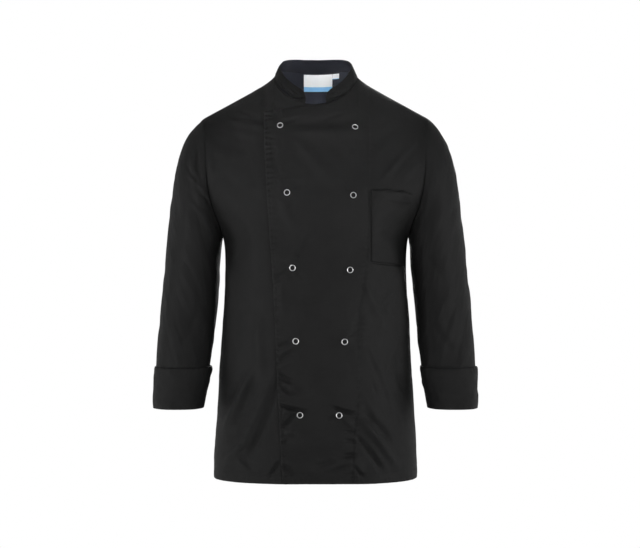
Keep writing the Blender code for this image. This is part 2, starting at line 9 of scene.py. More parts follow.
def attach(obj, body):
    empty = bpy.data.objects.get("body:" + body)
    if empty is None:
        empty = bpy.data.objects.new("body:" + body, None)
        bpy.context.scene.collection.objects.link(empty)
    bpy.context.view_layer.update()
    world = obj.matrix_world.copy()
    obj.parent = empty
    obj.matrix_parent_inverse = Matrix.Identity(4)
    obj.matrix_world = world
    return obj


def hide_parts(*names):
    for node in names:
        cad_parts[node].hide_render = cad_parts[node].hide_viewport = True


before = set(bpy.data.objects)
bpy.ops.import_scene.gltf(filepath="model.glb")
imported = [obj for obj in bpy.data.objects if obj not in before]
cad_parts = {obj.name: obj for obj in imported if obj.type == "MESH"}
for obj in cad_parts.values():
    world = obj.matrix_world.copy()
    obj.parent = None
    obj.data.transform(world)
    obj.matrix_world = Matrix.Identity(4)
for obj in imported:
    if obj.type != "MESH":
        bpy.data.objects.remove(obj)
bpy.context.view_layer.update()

# A black double-breasted chef jacket, filled out but empty. +Z is up, the front faces -Y and the
# wearer's left is +X. Every cloth piece is a thin shell on the smooth form of its solid. Metres,
# but rows of creases and of stations, which have many numbers, are in millimetres.

print("frame loaded:", len(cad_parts), "nodes")


# nodes

def feed(tree, node, given):
    # gives a node's inputs a value each, or another node's output
    for slot, value in given.items():
        if isinstance(value, bpy.types.NodeSocket):
            tree.links.new(value, node.inputs[slot])
        else:
            node.inputs[slot].default_value = value


def addNode(tree, kind, given=None, **settings):
    node = tree.nodes.new(kind)
    for key, value in settings.items():
        setattr(node, key, value)
    feed(tree, node, given or {})
    return node.outputs


# camera, floor and light

shot = {
    "place": (0.008, -3.0, -0.36),
    "lens": 90.0,
    "sensor": 36.0,
    "floorZ": -1.45,
    "floorRadius": 2.6,
    "skyStrength": (0.53, 0.13),    # level with the eye, overhead
}
lamps = {   # place, aim, size, watts, spread in degrees
    "frontBox": ((-0.26, -1.35, -0.42), (0.01, 0, -0.37), 0.4, 0.6, 62),
    "leftFront": ((1.1, -1.25, -0.62), (0.06, 0, -0.45), 0.6, 1.1, 80),
    "rightFront": ((-1.1, -1.25, -0.16), (-0.04, 0, -0.28), 0.5, 1.3, 80),
    "neckBox": ((0.0, -1.5, 0.6), (0.0, 0.04, -0.005), 0.25, 0.33, 20),
    "topBox": ((0.1, -0.7, 1.7), (0, 0, -0.1), 1.2, 0.5, 180),
    "leftSide": ((2.1, -0.3, -0.15), (0.25, 0, -0.32), 0.9, 19.0, 180),
    "rightSide": ((-2.1, -0.3, -0.62), (-0.25, 0, -0.44), 0.8, 9.8, 140),
    "backBox": ((0.3, 2.6, 0.5), (0, 0, -0.3), 1.6, 38.0, 180),
}


def newObject(name, data):
    made = bpy.data.objects.new(name, data)
    bpy.context.scene.collection.objects.link(made)
    return made


def addLamp(name, place, aim, size, watts, spread):
    data = bpy.data.lights.new(name, "AREA")
    data.size = size
    data.energy = watts
    data.spread = math.radians(spread)
    lamp = newObject(name, data)
    lamp.location = place
    lamp.rotation_euler = (Vector(aim) - Vector(place)).to_track_quat("-Z", "Y").to_euler()
    lamp.visible_camera = False


def makeSky():
    # white behind the jacket, softer where it only lights it
    sky = bpy.data.worlds.new("sky")
    sky.use_nodes = True
    tree = sky.node_tree
    level, overhead = shot["skyStrength"]
    place = addNode(tree, "ShaderNodeTexCoord")
    split = addNode(tree, "ShaderNodeSeparateXYZ", {0: place["Generated"]})
    fade = addNode(tree, "ShaderNodeMapRange", {"Value": split["Z"], "To Min": level, "To Max": overhead})
    soft = tree.nodes["Background"]
    feed(tree, soft, {"Color": (1, 1, 1, 1), "Strength": fade["Result"]})
    white = addNode(tree, "ShaderNodeBackground", {"Color": (1, 1, 1, 1)})
    seen = addNode(tree, "ShaderNodeLightPath")
    facts = {"Fac": seen["Is Camera Ray"], 1: soft.outputs[0], 2: white[0]}
    feed(tree, tree.nodes["World Output"], {"Surface": addNode(tree, "ShaderNodeMixShader", facts)[0]})
    bpy.context.scene.world = sky


camera = newObject("camera", bpy.data.cameras.new("camera"))
camera.location = shot["place"]
camera.rotation_euler = (math.radians(90), 0, 0)
camera.data.lens = shot["lens"]
camera.data.sensor_width = shot["sensor"]
bpy.context.scene.camera = camera
bpy.context.scene.view_settings.view_transform = "Standard"
for lampName, values in lamps.items():
    addLamp(lampName, *values)
makeSky()

floorMesh = bpy.data.meshes.new("floor")
turns = [math.tau * i / 96 for i in range(96)]
floorMesh.from_pydata([(shot["floorRadius"] * math.cos(a), shot["floorRadius"] * math.sin(a), shot["floorZ"])
                       for a in turns], [], [list(range(96))])
newObject("floor", floorMesh)
print("camera, floor and light made")


# materials

def weaveGroup():
    # diagonal ribs of a twill, with the yarns' own unevenness, on a map in metres
    tree = bpy.data.node_groups.new("twillWeave", "ShaderNodeTree")
    tree.interface.new_socket("Map", in_out="INPUT", socket_type="NodeSocketVector")
    for label, value in (("Rib", 0.0007), ("Lean", 1.6), ("Uneven", 0.5), ("Crumple", 7.0)):
        socket = tree.interface.new_socket(label, in_out="INPUT", socket_type="NodeSocketFloat")
        socket.default_value = value
    for label in ("Height", "Tone"):
        tree.interface.new_socket(label, in_out="OUTPUT", socket_type="NodeSocketFloat")
    given = addNode(tree, "NodeGroupInput")

    def result(operation, *values):
        return addNode(tree, "ShaderNodeMath", dict(enumerate(values)), operation=operation)[0]

    def noise(scale, detail):
        facts = {"Vector": given["Map"], "Scale": scale, "Detail": detail}
        return addNode(tree, "ShaderNodeTexNoise", facts)["Fac"]

    split = addNode(tree, "ShaderNodeSeparateXYZ", {0: given["Map"]})
    across = result("ADD", result("MULTIPLY", split["X"], given["Lean"]), split["Y"])
    rib = result("SINE", result("MULTIPLY", result("DIVIDE", across, given["Rib"]), math.tau))
    fuzz = result("MULTIPLY", noise(1400.0, 2.0), given["Uneven"])
    crumpled = result("MULTIPLY", noise(95.0, 3.0), given["Crumple"])
    height = result("ADD", result("ADD", result("MULTIPLY", rib, 0.5), fuzz), crumpled)
    feed(tree, tree.nodes.new("NodeGroupOutput"), {"Height": height, "Tone": noise(22.0, 4.0)})
    return tree


weave = weaveGroup()


def newMaterial(name):
    made = bpy.data.materials.new(name)
    made.use_nodes = True
    return made, made.node_tree, made.node_tree.nodes["Principled BSDF"]


def tonedSurface(tree, shader, tone, colours, places, roughness):
    # colour and roughness between two values each, by one tone
    ramp = tree.nodes.new("ShaderNodeValToRGB")
    for i, (colour, place) in enumerate(zip(colours, places)):
        ramp.color_ramp.elements[i].color = (*colour, 1)
        ramp.color_ramp.elements[i].position = place
    smooth, rough = roughness
    worn = addNode(tree, "ShaderNodeMapRange", {"Value": tone, "To Min": smooth, "To Max": rough})
    feed(tree, ramp, {"Fac": tone})
    feed(tree, shader, {"Base Color": ramp.outputs["Color"], "Roughness": worn["Result"]})


def clothMaterial(name, dark, light, roughness, sheen, rib, bump, ownMap=True):
    made, tree, shader = newMaterial(name)
    if ownMap:
        place = addNode(tree, "ShaderNodeUVMap", uv_map="cloth")["UV"]
    else:
        place = addNode(tree, "ShaderNodeTexCoord")["Object"]
    cloth = addNode(tree, "ShaderNodeGroup", {"Map": place, "Rib": rib}, node_tree=weave)
    tonedSurface(tree, shader, cloth["Tone"], (dark, light), (0.3, 0.7), (roughness - 0.05, roughness + 0.05))
    facts = {"Strength": bump, "Distance": rib / 3, "Height": cloth["Height"]}
    relief = addNode(tree, "ShaderNodeBump", facts)
    feed(tree, shader, {"Specular IOR Level": 0.14, "Sheen Weight": sheen, "Sheen Roughness": 0.45,
                        "Normal": relief["Normal"]})
    return made


def metalMaterial():
    made, tree, shader = newMaterial("studMetal")
    place = addNode(tree, "ShaderNodeTexCoord")["Object"]
    brushed = addNode(tree, "ShaderNodeTexNoise", {"Vector": place, "Scale": 900.0})["Fac"]
    tonedSurface(tree, shader, brushed, ((0.8, 0.8, 0.81), (0.96, 0.96, 0.97)), (0, 1), (0.3, 0.42))
    feed(tree, shader, {"Metallic": 1.0})
    return made


clothFinishes = {    # dark and light tone, roughness, sheen, rib, bump
    "blackTwill": ((0.0062, 0.0062, 0.0062), (0.0084, 0.0084, 0.0084), 0.6, 0.01, 0.0008, 0.5),
    # the collar's copy of the black twill is darker: painted shade where the same cloth catches more light
    "collarTwillPaintedShade": ((0.0036, 0.0036, 0.0036), (0.005, 0.005, 0.005), 0.66, 0.005, 0.0008, 0.5),
    "navyLining": ((0.016, 0.0168, 0.0225), (0.019, 0.0203, 0.0265), 0.85, 0.05, 0.0006, 0.4),
    # the neck facing is the navy lining made lighter: painted light where the lining lies in shade inside the
    # neck
    "facingLiningPaintedLight": ((0.031, 0.034, 0.045), (0.04, 0.043, 0.056), 0.85, 0.05, 0.0006, 0.4),
    "labelTape": ((0.95, 0.97, 1.0), (0.98, 0.99, 1.0), 0.6, 0.3, 0.0004, 0.3),
    "labelBand": ((0.27, 0.61, 0.95), (0.31, 0.66, 0.98), 0.6, 0.1, 0.0004, 0.3),
    "thread": ((0.0045, 0.0045, 0.0048), (0.007, 0.007, 0.0072), 0.5, 0.05, 0.0003, 0.3, False),
}
finishes = {name: clothMaterial(name, *values) for name, values in clothFinishes.items()}
finishes["studMetal"] = metalMaterial()

paleFloor, tree, shader = newMaterial("paleFloor")
feed(tree, shader, {"Base Color": (0.97, 0.97, 0.97, 1), "Roughness": 0.9})
floorMesh.materials.append(paleFloor)
print("materials made:", len(finishes))


# the torso's smooth form

torso = {
    "hemZ": -0.7377,
    "chestZ": -0.293,
    "tip": (0.21, -0.069),      # where the sleeve seam meets the shoulder seam
    "slope": 0.545,
    "squareness": 2.5,
    "outlineZ": (-0.7377, -0.7, -0.66, -0.58, -0.5, -0.42, -0.345, -0.31,
                 -0.293, -0.27, -0.245, -0.21, -0.175, -0.13, -0.1, -0.069),
    "halfWidth": (0.1903, 0.1893, 0.187, 0.1815, 0.1772, 0.1722, 0.17, 0.1714,
                  0.1736, 0.1785, 0.1875, 0.1965, 0.2003, 0.202, 0.205, 0.21),
    "depthZ": (-0.7377, -0.66, -0.58, -0.5, -0.42, -0.345, -0.293),
    "frontDepth": (0.131, 0.131, 0.13, 0.13, 0.1315, 0.1337, 0.134),
    "backDepth": (0.124, 0.12, 0.114, 0.1085, 0.1085, 0.1172, 0.119),
    "armholeDepth": {-1: 0.066, 1: 0.064},
    "chestRound": {-1: 2.0, 1: 2.3},
    "edgeShare": 0.93,
    "edgeRise": 0.045,
    "neckX": 0.078,
    "neckZ": (-0.048, 0.009, 0.023),    # front, side, back
    "neckCrown": 0.058,
    "neckFade": 0.012,
    "wall": 0.0015,
    "layerGap": 0.0008,
    "seamGap": 0.0003,
    "hemFold": 0.018,
}
neckX, chestZ, seamGap = torso["neckX"], torso["chestZ"], torso["seamGap"]
tipX, tipZ = torso["tip"]


def ease(t):
    t = np.clip(t, 0.0, 1.0)
    return t * t * (3 - 2 * t)


def groove(distance, width):
    return np.exp(-(distance / width) ** 2)


def through(xs, ys, x):
    # a smooth curve through given points
    xs, ys = np.array(xs, float), np.array(ys, float)
    x = np.clip(x, xs[0], xs[-1])
    slopes = np.gradient(ys, xs)
    i = np.clip(np.searchsorted(xs, x) - 1, 0, len(xs) - 2)
    width = xs[i + 1] - xs[i]
    t = (x - xs[i]) / width
    start = (2 * t**3 - 3 * t**2 + 1) * ys[i] + (t**3 - 2 * t**2 + t) * width * slopes[i]
    end = (3 * t**2 - 2 * t**3) * ys[i + 1] + (t**3 - t**2) * width * slopes[i + 1]
    return start + end


def halfWidth(z):
    return through(torso["outlineZ"], torso["halfWidth"], z)


def ridgeHeight(x, facing):
    # the top of the shoulder, rising to the neck
    x = np.abs(x)
    line = tipZ + torso["slope"] * (tipX - np.maximum(x, neckX))
    rise = torso["neckZ"][1] - tipZ - torso["slope"] * (tipX - neckX)
    height = line + rise * np.exp(-np.maximum(x - neckX, 0.0) / torso["neckFade"])
    if facing > 0:
        height = height + torso["neckCrown"] * np.sqrt(np.clip(1 - (x / neckX) ** 2, 0, 1))
    return height


def softRidge(x, facing):
    # the same line without its corners beside the neck, for the cloth further down
    size = np.sqrt(x**2 + 0.0009)
    past = (size + neckX + np.sqrt((size - neckX) ** 2 + 0.0018)) / 2
    height = tipZ + torso["slope"] * (tipX - past)
    if facing > 0:
        height = height + torso["neckCrown"] * groove(x, 0.055)
    return height


def neckHeight(x, facing):
    front, side, behind = torso["neckZ"]
    cosine = -facing * np.sqrt(np.clip(1 - (x / neckX) ** 2, 0, 1))
    return side + (front - behind) / 2 * cosine + ((front + behind) / 2 - side) * cosine**2


def torsoPoint(facing, share, z):
    # a place on the form: facing -1 front or 1 back, its share across, its height
    share, z = np.broadcast_arrays(share, z)
    n = torso["squareness"]
    x = share * halfWidth(z)
    size = np.clip(np.abs(share), 0, 1)
    depths = torso["frontDepth"] if facing < 0 else torso["backDepth"]
    low = through(torso["depthZ"], depths, z) * (1 - size**n) ** (1 / n)
    above = z - chestZ
    left = 1 - (1 - torso["edgeShare"]) * ease(above / torso["edgeRise"])
    edge = (1 - left**n) ** (1 / n)
    full = np.clip(((1 - (size * left) ** n) ** (1 / n) - edge) / (1 - edge), 0, 1)
    top, even = ridgeHeight(x, facing), softRidge(x, facing)
    rise = np.clip(above / (top - chestZ), 0, 1)
    rise = np.clip(above / (even + (top - even) * rise**12 - chestZ), 0, 1)
    bend = torso["chestRound"][facing]
    body = depths[-1] * (1 - rise**bend) ** (1 / bend)
    arm = torso["armholeDepth"][facing] * (4 * rise * (1 - rise)) ** (0.5 + full)
    high = arm * (1 - full) ** 1.5 + body * full
    y = facing * np.where(above <= 0, low, high)
    return np.stack((x, y, z), axis=-1)


def sectionAngle(share):
    return np.degrees(np.arcsin(np.sign(share) * np.clip(np.abs(share), 0, 1) ** (torso["squareness"] / 2)))


def sectionShare(angle):
    sine = np.sin(np.radians(angle))
    return np.sign(sine) * np.abs(sine) ** (2 / torso["squareness"])


# uneven curves with a fixed seed, and creases

def between(values, t):
    # runs softly through a row of values
    i = np.floor(t).astype(int)
    f = ease(t - i)
    return values[i % len(values)] * (1 - f) + values[(i + 1) % len(values)] * f


def unevenLine(s, pitch, seed):
    return between(np.random.default_rng(seed).uniform(-1, 1, 4096), s / pitch + 1000)


def gatherLine(s, pitch, seed):
    # a row of small swells and dips, each of its own size and width
    values = np.random.default_rng(seed).uniform(0.35, 1.1, 4096) * np.where(np.arange(4096) % 2, -1, 1)
    return between(values, s / pitch + 0.65 * unevenLine(s, 3 * pitch, seed + 50) + 1000)


def unevenCloth(x, z, pitchX, pitchZ, seed):
    # the same over a surface
    values = np.random.default_rng(seed).uniform(-1, 1, (128, 128))
    u, v = x / pitchX + 50, z / pitchZ + 50
    i, j = np.floor(u).astype(int), np.floor(v).astype(int)
    f, g = ease(u - i), ease(v - j)

    def level(k):
        return values[i % 128, k % 128] * (1 - f) + values[(i + 1) % 128, k % 128] * f

    return level(j) * (1 - g) + level(j + 1) * g


def crumple(u, v, layers, seed):
    # layers: height, pitch both ways, step of the seed
    return sum(height * unevenCloth(u, v, *pitches, seed + step) for height, *pitches, step in layers)


def creaseRelief(creases, x, z):
    # a row: the start's x and z, the end's, bow sideways, half width, depth (a ridge if negative),
    # and last, where the crease leans like a step, how much
    total = np.zeros(np.shape(x))
    for row in creases:
        x0, z0, x1, z1, bow, width, depth = np.array(row[:7]) / 1000
        lean = row[7] if len(row) > 7 else 0.0
        run = np.array((x1 - x0, z1 - z0))
        length = np.linalg.norm(run)
        t = ((x - x0) * run[0] + (z - z0) * run[1]) / length**2
        off = ((x - x0) * run[1] - (z - z0) * run[0]) / length - bow * 4 * t * (1 - t)
        q = off / (width * (0.6 + 0.4 * np.clip(t + 0.3, 0, 1)))
        taper = ease((t + 0.1) / 0.4) * ease((1.1 - t) / 0.4)
        total -= depth * taper * np.exp(-q**2) * ((1 - abs(lean)) * (1 - 0.9 * q**2) - 1.5 * lean * q)
    return total


def puckers(distance, along, depth, reach, seed):
    # the cloth drawn up beside a stitched edge
    slanted = along + 0.35 * distance * unevenLine(along, 0.014, seed + 60)
    wave = gatherLine(slanted, 0.0053, seed) * (0.7 + 0.3 * unevenLine(along, 0.03, seed + 1))
    return depth * wave * groove(distance, reach * (1 + 0.5 * unevenLine(along, 0.0104, seed + 2)))


# grids of points and the shells made from them

def outwardNormals(points, away=(0, -1, 0), ring=False):
    if ring:
        across = np.roll(points, -1, axis=1) - np.roll(points, 1, axis=1)
    else:
        across = np.gradient(points, axis=1)
    normals = np.cross(across, np.gradient(points, axis=0))
    normals = normals / np.maximum(np.linalg.norm(normals, axis=2, keepdims=True), 1e-12)
    return -normals if np.sum(normals * away) < 0 else normals


def runAlong(points, axis):
    # how far the cloth has run at each point, from its first row or column
    steps = np.linalg.norm(np.diff(points, axis=axis), axis=2)
    return np.concatenate((0 * steps.take([0], axis), np.cumsum(steps, axis=axis)), axis=axis)


def fromEdge(points, side):
    axis = 1 if side in ("left", "right") else 0
    if side in ("left", "bottom"):
        return runAlong(points, axis)
    return np.flip(runAlong(np.flip(points, axis), axis), axis)


def clothMap(points):
    # lengths across and along the cloth, for the weave
    across = runAlong(points, 1)
    middle = points.shape[1] // 2
    return np.stack((across - across[:, middle:middle + 1], runAlong(points, 0)), axis=-1).reshape(-1, 2)


def clothShell(name, node, outer, normals, wall, ring=False, smooth=None,
               finish="blackTwill"):
    # smooth: the same grid before its relief, which the weave follows
    rows, columns = outer.shape[:2]
    count = rows * columns
    spans = columns if ring else columns - 1
    r, c = np.meshgrid(np.arange(rows - 1), np.arange(spans), indexing="ij")
    a = (r * columns + c).ravel()
    b = (r * columns + (c + 1) % columns).ravel()
    quads = np.stack((a, b, b + columns, a + columns), axis=1)
    corner = outer.reshape(-1, 3)
    inner = (outer - normals * wall).reshape(-1, 3)
    facing = np.cross(corner[quads[:, 1]] - corner[quads[:, 0]], corner[quads[:, 3]] - corner[quads[:, 0]])
    if np.sum(facing * normals.reshape(-1, 3)[quads[:, 0]]) < 0:
        quads = quads[:, ::-1]
    # the rim is rounded by a middle line that stands a little out
    edges = quads[:, [0, 1, 1, 2, 2, 3, 3, 0]].reshape(-1, 2)
    keys = np.sort(edges, axis=1)
    order = keys[:, 0].astype(np.int64) * count + keys[:, 1]
    _, index, times = np.unique(order, return_index=True, return_counts=True)
    rim = edges[index[times == 1]]
    rimPoints = np.unique(rim)
    middle = np.full(count, -1)
    middle[rimPoints] = 2 * count + np.arange(len(rimPoints))
    out = np.zeros((rows, columns, 3))
    if not ring:
        out[:, 0] += outer[:, 0] - outer[:, 1]
        out[:, -1] += outer[:, -1] - outer[:, -2]
    out[0] += outer[0] - outer[1]
    out[-1] += outer[-1] - outer[-2]
    out = out.reshape(-1, 3)[rimPoints]
    out /= np.maximum(np.linalg.norm(out, axis=1, keepdims=True), 1e-9)
    points = np.concatenate((corner, inner, (corner + inner)[rimPoints] / 2 + out * wall * 0.35))
    first = np.stack((rim[:, 1], rim[:, 0], middle[rim[:, 0]], middle[rim[:, 1]]), axis=1)
    second = np.stack((middle[rim[:, 1]], middle[rim[:, 0]], rim[:, 0] + count, rim[:, 1] + count), axis=1)
    faces = np.concatenate((quads, quads[:, ::-1] + count, first, second))
    cloth = clothMap(outer if smooth is None else smooth)
    cloth = np.concatenate((cloth, cloth, cloth[rimPoints]))
    return meshPiece(name, [node], points, faces, cloth, finish)


def meshPiece(name, nodes, points, faces, cloth, finish):
    mesh = bpy.data.meshes.new(name)
    mesh.from_pydata(np.asarray(points).tolist(), [], np.asarray(faces).tolist())
    mesh.polygons.foreach_set("use_smooth", [True] * len(mesh.polygons))
    if cloth is not None:
        layer = mesh.uv_layers.new(name="cloth")
        loops = np.zeros(len(mesh.loops), int)
        mesh.loops.foreach_get("vertex_index", loops)
        layer.data.foreach_set("uv", cloth[loops].astype(np.float32).ravel())
    mesh.materials.append(finishes[finish])
    piece = newObject(name, mesh)
    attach(piece, "root")
    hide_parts(*nodes)
    return piece


def raisedShell(name, node, points, away, relief, wall, shift=(0, 0, 0), ring=False):
    raised = points + outwardNormals(points, away, ring) * relief[..., None] + np.array(shift)
    normals = outwardNormals(raised, away, ring)
    return clothShell(name, node, raised, normals, wall, ring, smooth=points), raised


def edgeRoll(distance, depth=0.0009, reach=0.0028):
    return -depth * groove(distance, reach)


def hemLine(hem):
    return edgeRoll(hem, 0.0006, 0.002) - 0.0005 * groove(hem - torso["hemFold"], 0.0012)


def softenChest(points, seam, rounds):
    # the form changes its rule level with the armpits: the depth is evened out there, but not at the edges
    y = points[..., 1]
    weight = groove(points[..., 2] - chestZ, 0.045) * ease(seam / 0.03)
    along = np.abs(np.diff(points[:, 1:-1, 2], axis=0))
    across = np.abs(np.diff(points[1:-1, :, 0], axis=1))
    below, right = along[:-1] / (along[:-1] + along[1:]), across[:, :-1] / (across[:, :-1] + across[:, 1:])
    for _ in range(rounds):
        mean = y[:-2, 1:-1] * (1 - below) + y[2:, 1:-1] * below
        mean = (mean + y[1:-1, :-2] * (1 - right) + y[1:-1, 2:] * right) / 2
        y[1:-1, 1:-1] += weight[1:-1, 1:-1] * (mean - y[1:-1, 1:-1])
    return points


# the two fronts

fronts = {
    "freeEdgeZ": (-0.7377, -0.6, -0.49, -0.36, -0.21, -0.11, -0.0597),
    "freeEdgeX": (-0.0587, -0.0665, -0.0712, -0.0775, -0.0879, -0.0935, -0.0948),
    "corner": (-0.0948, -0.0597),
    "collarEnd": 14.5,
    "rowsBelow": {1: 300, -1: 170},
    "rowsAbove": {1: 130, -1: 110},
    "evened": {1: 400, -1: 160},
    "columns": (38, 26, 40),       # to the collar's end, to the shoulder seam, to the side seam
    "crowd": {"edge": 3.0, "edgeReach": 0.1, "line": 2.5, "lineAt": 0.5, "lineReach": 0.09},
    "underRises": (-0.045, -0.015),
    "underStart": 3.0,
    "underSide": 35.0,
    "underExtra": 0.0025,
    "crumple": ((0.0012, 0.05, 0.09, 0), (0.0006, 0.018, 0.03, 1), (0.00022, 0.007, 0.01, 6)),
    "puckerDepth": 0.0018,
    "besideEdge": 0.0009,
    "stitchIn": 0.0062,
    "lineZ": (-0.7377, -0.706, -0.668, -0.588, -0.519, -0.438, -0.362, -0.33, -0.211, -0.078, -0.03),
    "lineX": (0.0672, 0.0676, 0.0687, 0.0763, 0.0785, 0.0796, 0.0895, 0.0925, 0.0968, 0.0995, 0.1005),
    "overCreases": (
        (-56, -91, 112, -87, 3, 15, 3.4, 0.8), (-35, -116, 40, -205, -2, 16, -3),
        (22, -118, 78, -205, -6, 20, 2.4), (-50, -196, 88, -203, 4, 12, 0.6),
        (192, -113, 122, -190, 4, 6, -1.6), (190, -128, 135, -196, 4, 6, 1.4),
        (150, -92, 104, -130, 4, 12, 1.8), (196, -150, 150, -205, 3, 8, -1.2),
        (-60, -225, -30, -285, 4, 14, -2), (-80, -120, -62, -190, 3, 10, 1),
        (-6, -290, -37, -338, 3, 5.5, 1.8), (-73, -366, -47, -350, 1, 4, 1.8),
        (-36, -352, -20, -372, 1, 4, 1.4), (-70, -350, -50, -338, 1, 3, 1), (50, -352, 74, -378, 2, 6, 1.2),
        (0, -452, -24, -430, 2, 10, -2.2), (-20, -415, 6, -395, 2, 8, 1.2),
        (-62, -375, -52, -440, 3, 9, -1.6), (90, -376, 130, -450, 4, 12, -2.2),
        (140, -392, 122, -430, 3, 9, 1.6), (83, -425, 72, -495, 3, 12, 1.4),
        (94, -490, 156, -650, -6, 8.5, -3), (98, -502, 137, -575, 2, 12, 2),
        (142, -500, 128, -548, 2, 8, -1.8), (148, -508, 168, -590, 4, 9.5, 3.8),
        (100, -545, 112, -580, 1, 4, 1.6), (78, -578, 104, -618, 1, 5.5, 2.2),
        (99, -206.2, 178, -212.4, 0, 2.6, 2.6), (96, -339, 166, -344.6, 0, 2.6, 2.6),
        (80, -604, 140, -672, -4, 10.5, 4.6), (80, -616, 152, -718, -3, 9.5, -4.8),
        (73, -650, 124, -720, -2, 7, 6.2), (68, -702, 88, -726, 1, 4.5, 3.6),
        (-70, -686, 80, -685, 3, 14, 5.2, 0.7), (-10, -710, 60, -702, 2, 15, 4.6, 0.5),
        (-4, -703, 36, -693, 1, 6, 3), (14, -718, 64, -702, 2, 6, 3), (-60, -738, 90, -738, 0, 30, 6),
        (-58, -700, -40, -722, 2, 7, 3), (-20, -560, -4, -576, 0, 12, -2.6),
        (-46, -560, -34, -578, 0, 10, -2.4), (6, -530, 14, -545, 0, 10, -1.6),
        (-68, -546, -40, -556, 1, 3.6, 2.6), (-66, -594, -14, -606, 2, 4.6, 4.8),
        (-60, -609, -40, -607, 0, 5, -2.6), (-60, -636, -32, -610, -1, 5.6, 3.6),
        (-56, -646, -34, -643, 0, 9, -3.4), (-62, -664, -50, -662, 0, 3.6, 2),
        (28, -596, 72, -611, 2, 4.4, 4.4), (20, -623, 37, -613, 1, 4.5, 2.6),
        (46, -614, 72, -640, 0, 5.5, -2.8), (52, -642, 72, -645, 0, 3.6, 2.6),
        (52, -658, 73, -661, 0, 5, 2.6), (50, -686, 73, -687, 0, 6.5, 3.2),
        (-67, -488, -42, -480, 1, 4.2, 2.4), (-66, -502, -34, -486, 2, 3.4, -1.4),
        (-66, -515, -38, -500, -2, 4.4, 2.4), (-65, -528, -44, -520, 1, 3.4, -1.2),
        (-65, -536, -40, -552, 3, 4.2, 3.4), (-64, -548, -46, -560, 1, 3.2, -1.2),
        (-63, -560, -34, -578, 3, 4.4, 3.2), (55, -474, 74, -462, 1, 4, 1.4), (34, -484, 16, -494, 1, 6, 1),
        (52, -200, 66, -212, 1, 4, 1), (-30, -75, -70, -83, -2, 6, 1.4), (50, -68, 5, -84, 3, 6, 1.4),
    ),
    "underCreases": (
        (-160, -73, -84, -90, -2, 8, 4.2, 0.9), (-150, -100, -96, -112, -2, 12, -1.2),
        (-94, -58, -92, -92, 0, 4, 1.6), (-140, -58, -100, -70, 2, 6, 1.2),
        (-92, -40, -64, -52, 2, 7.5, 1.4), (-196, -128, -110, -150, 4, 16, -1.4),
        (-180, -160, -110, -230, 4, 16, 1.2), (-150, -230, -100, -290, 4, 16, -1.6),
        (-160, -300, -120, -380, 4, 18, 1.4), (-150, -430, -98, -400, 4, 16, 1.2),
        (-102, -445, -98, -545, 3, 14, -2.8), (-128, -534, -158, -590, 2, 9.5, 3.8),
        (-118, -540, -168, -650, 0, 9.5, -3.6), (-104, -536, -150, -660, 2, 14, 6, 0.15),
        (-80, -540, -152, -704, -4, 11, -4), (-68, -546, -128, -700, -6, 8, 5.6, 0.15),
        (-128, -668, -166, -706, 3, 8, -3), (-116, -714, -142, -688, 1, 6, 2.6),
        (-84, -724, -62, -694, 1, 6, 3.4),
    ),
}


collarEndX = neckX * math.sin(math.radians(fronts["collarEnd"]))


def frontTop(x, side):
    # the shoulder seam, the neck seam and the lap from the collar's end to the free edge's corner
    own = x * side
    cornerX, cornerZ = fronts["corner"]
    lap = cornerZ + (own - cornerX) / (collarEndX - cornerX) * (neckHeight(collarEndX, -1) - cornerZ)
    neck = np.where(own >= collarEndX, neckHeight(x, -1), lap)
    return np.where(own > neckX - 1e-9, ridgeHeight(x, -1), neck)


def freeEdge(z):
    return through(fronts["freeEdgeZ"], fronts["freeEdgeX"], z)


def edgeAngle(z):
    return sectionAngle(freeEdge(z) / halfWidth(z))


def frontShare(part, z):
    edge = edgeAngle(z)
    return sectionShare(edge + (90 - edge) * part)


def columnParts():
    # columns fall on the corners of the top edge: the collar's end and the shoulder seam's end
    stops = [0.0]
    for x in (collarEndX, neckX):
        z = frontTop(np.array(x), 1)
        edge = edgeAngle(z)
        stops.append(float((sectionAngle(x / halfWidth(z)) - edge) / (90 - edge)))
    crowd, parts = fronts["crowd"], []
    for start, end, count in zip(stops, stops[1:] + [1.0], fronts["columns"]):
        fine = np.linspace(start, end, 400)
        density = (1 + crowd["edge"] * groove(fine, crowd["edgeReach"])
                   + crowd["line"] * groove(fine - crowd["lineAt"], crowd["lineReach"]))
        filled = np.concatenate(((0,), np.cumsum(density[1:] + density[:-1])))
        parts += list(np.interp(np.linspace(0, filled[-1], count, endpoint=False), filled, fine))
    return np.array(parts + [1.0])


def panelGrid(facing, shareAt, topAt, columns, below, above):
    # rows of a panel from the hem to its top edge
    top = np.full(columns, tipZ)
    for _ in range(60):
        top = topAt(shareAt(top) * halfWidth(top))
    low = np.linspace(torso["hemZ"], chestZ, below + 1)[:-1]
    turn = np.sin(np.linspace(0, math.pi / 2, above + 1))
    high = chestZ + turn[:, None] * (top[None, :] - chestZ)
    z = np.concatenate((np.repeat(low[:, None], columns, axis=1), high))
    return torsoPoint(facing, shareAt(z), z)


def secondLine(x, z):
    # how far a place is from the stitched line down the over front
    return x - through(fronts["lineZ"], fronts["lineX"], z)


def overRelief(x, z, top, seed):
    off = secondLine(x, z)
    low = ease((-0.4 - z) / 0.1)
    relief = puckers(np.abs(off), z, 0.0004 + 0.0008 * low, 0.008, seed + 7)
    relief += puckers(top, x, 0.001, 0.01, seed + 9) * ease((0.01 - x) / 0.02)
    return relief - (0.0008 + 0.0009 * ease((z + 0.24) / 0.04)) * groove(off, 0.002)


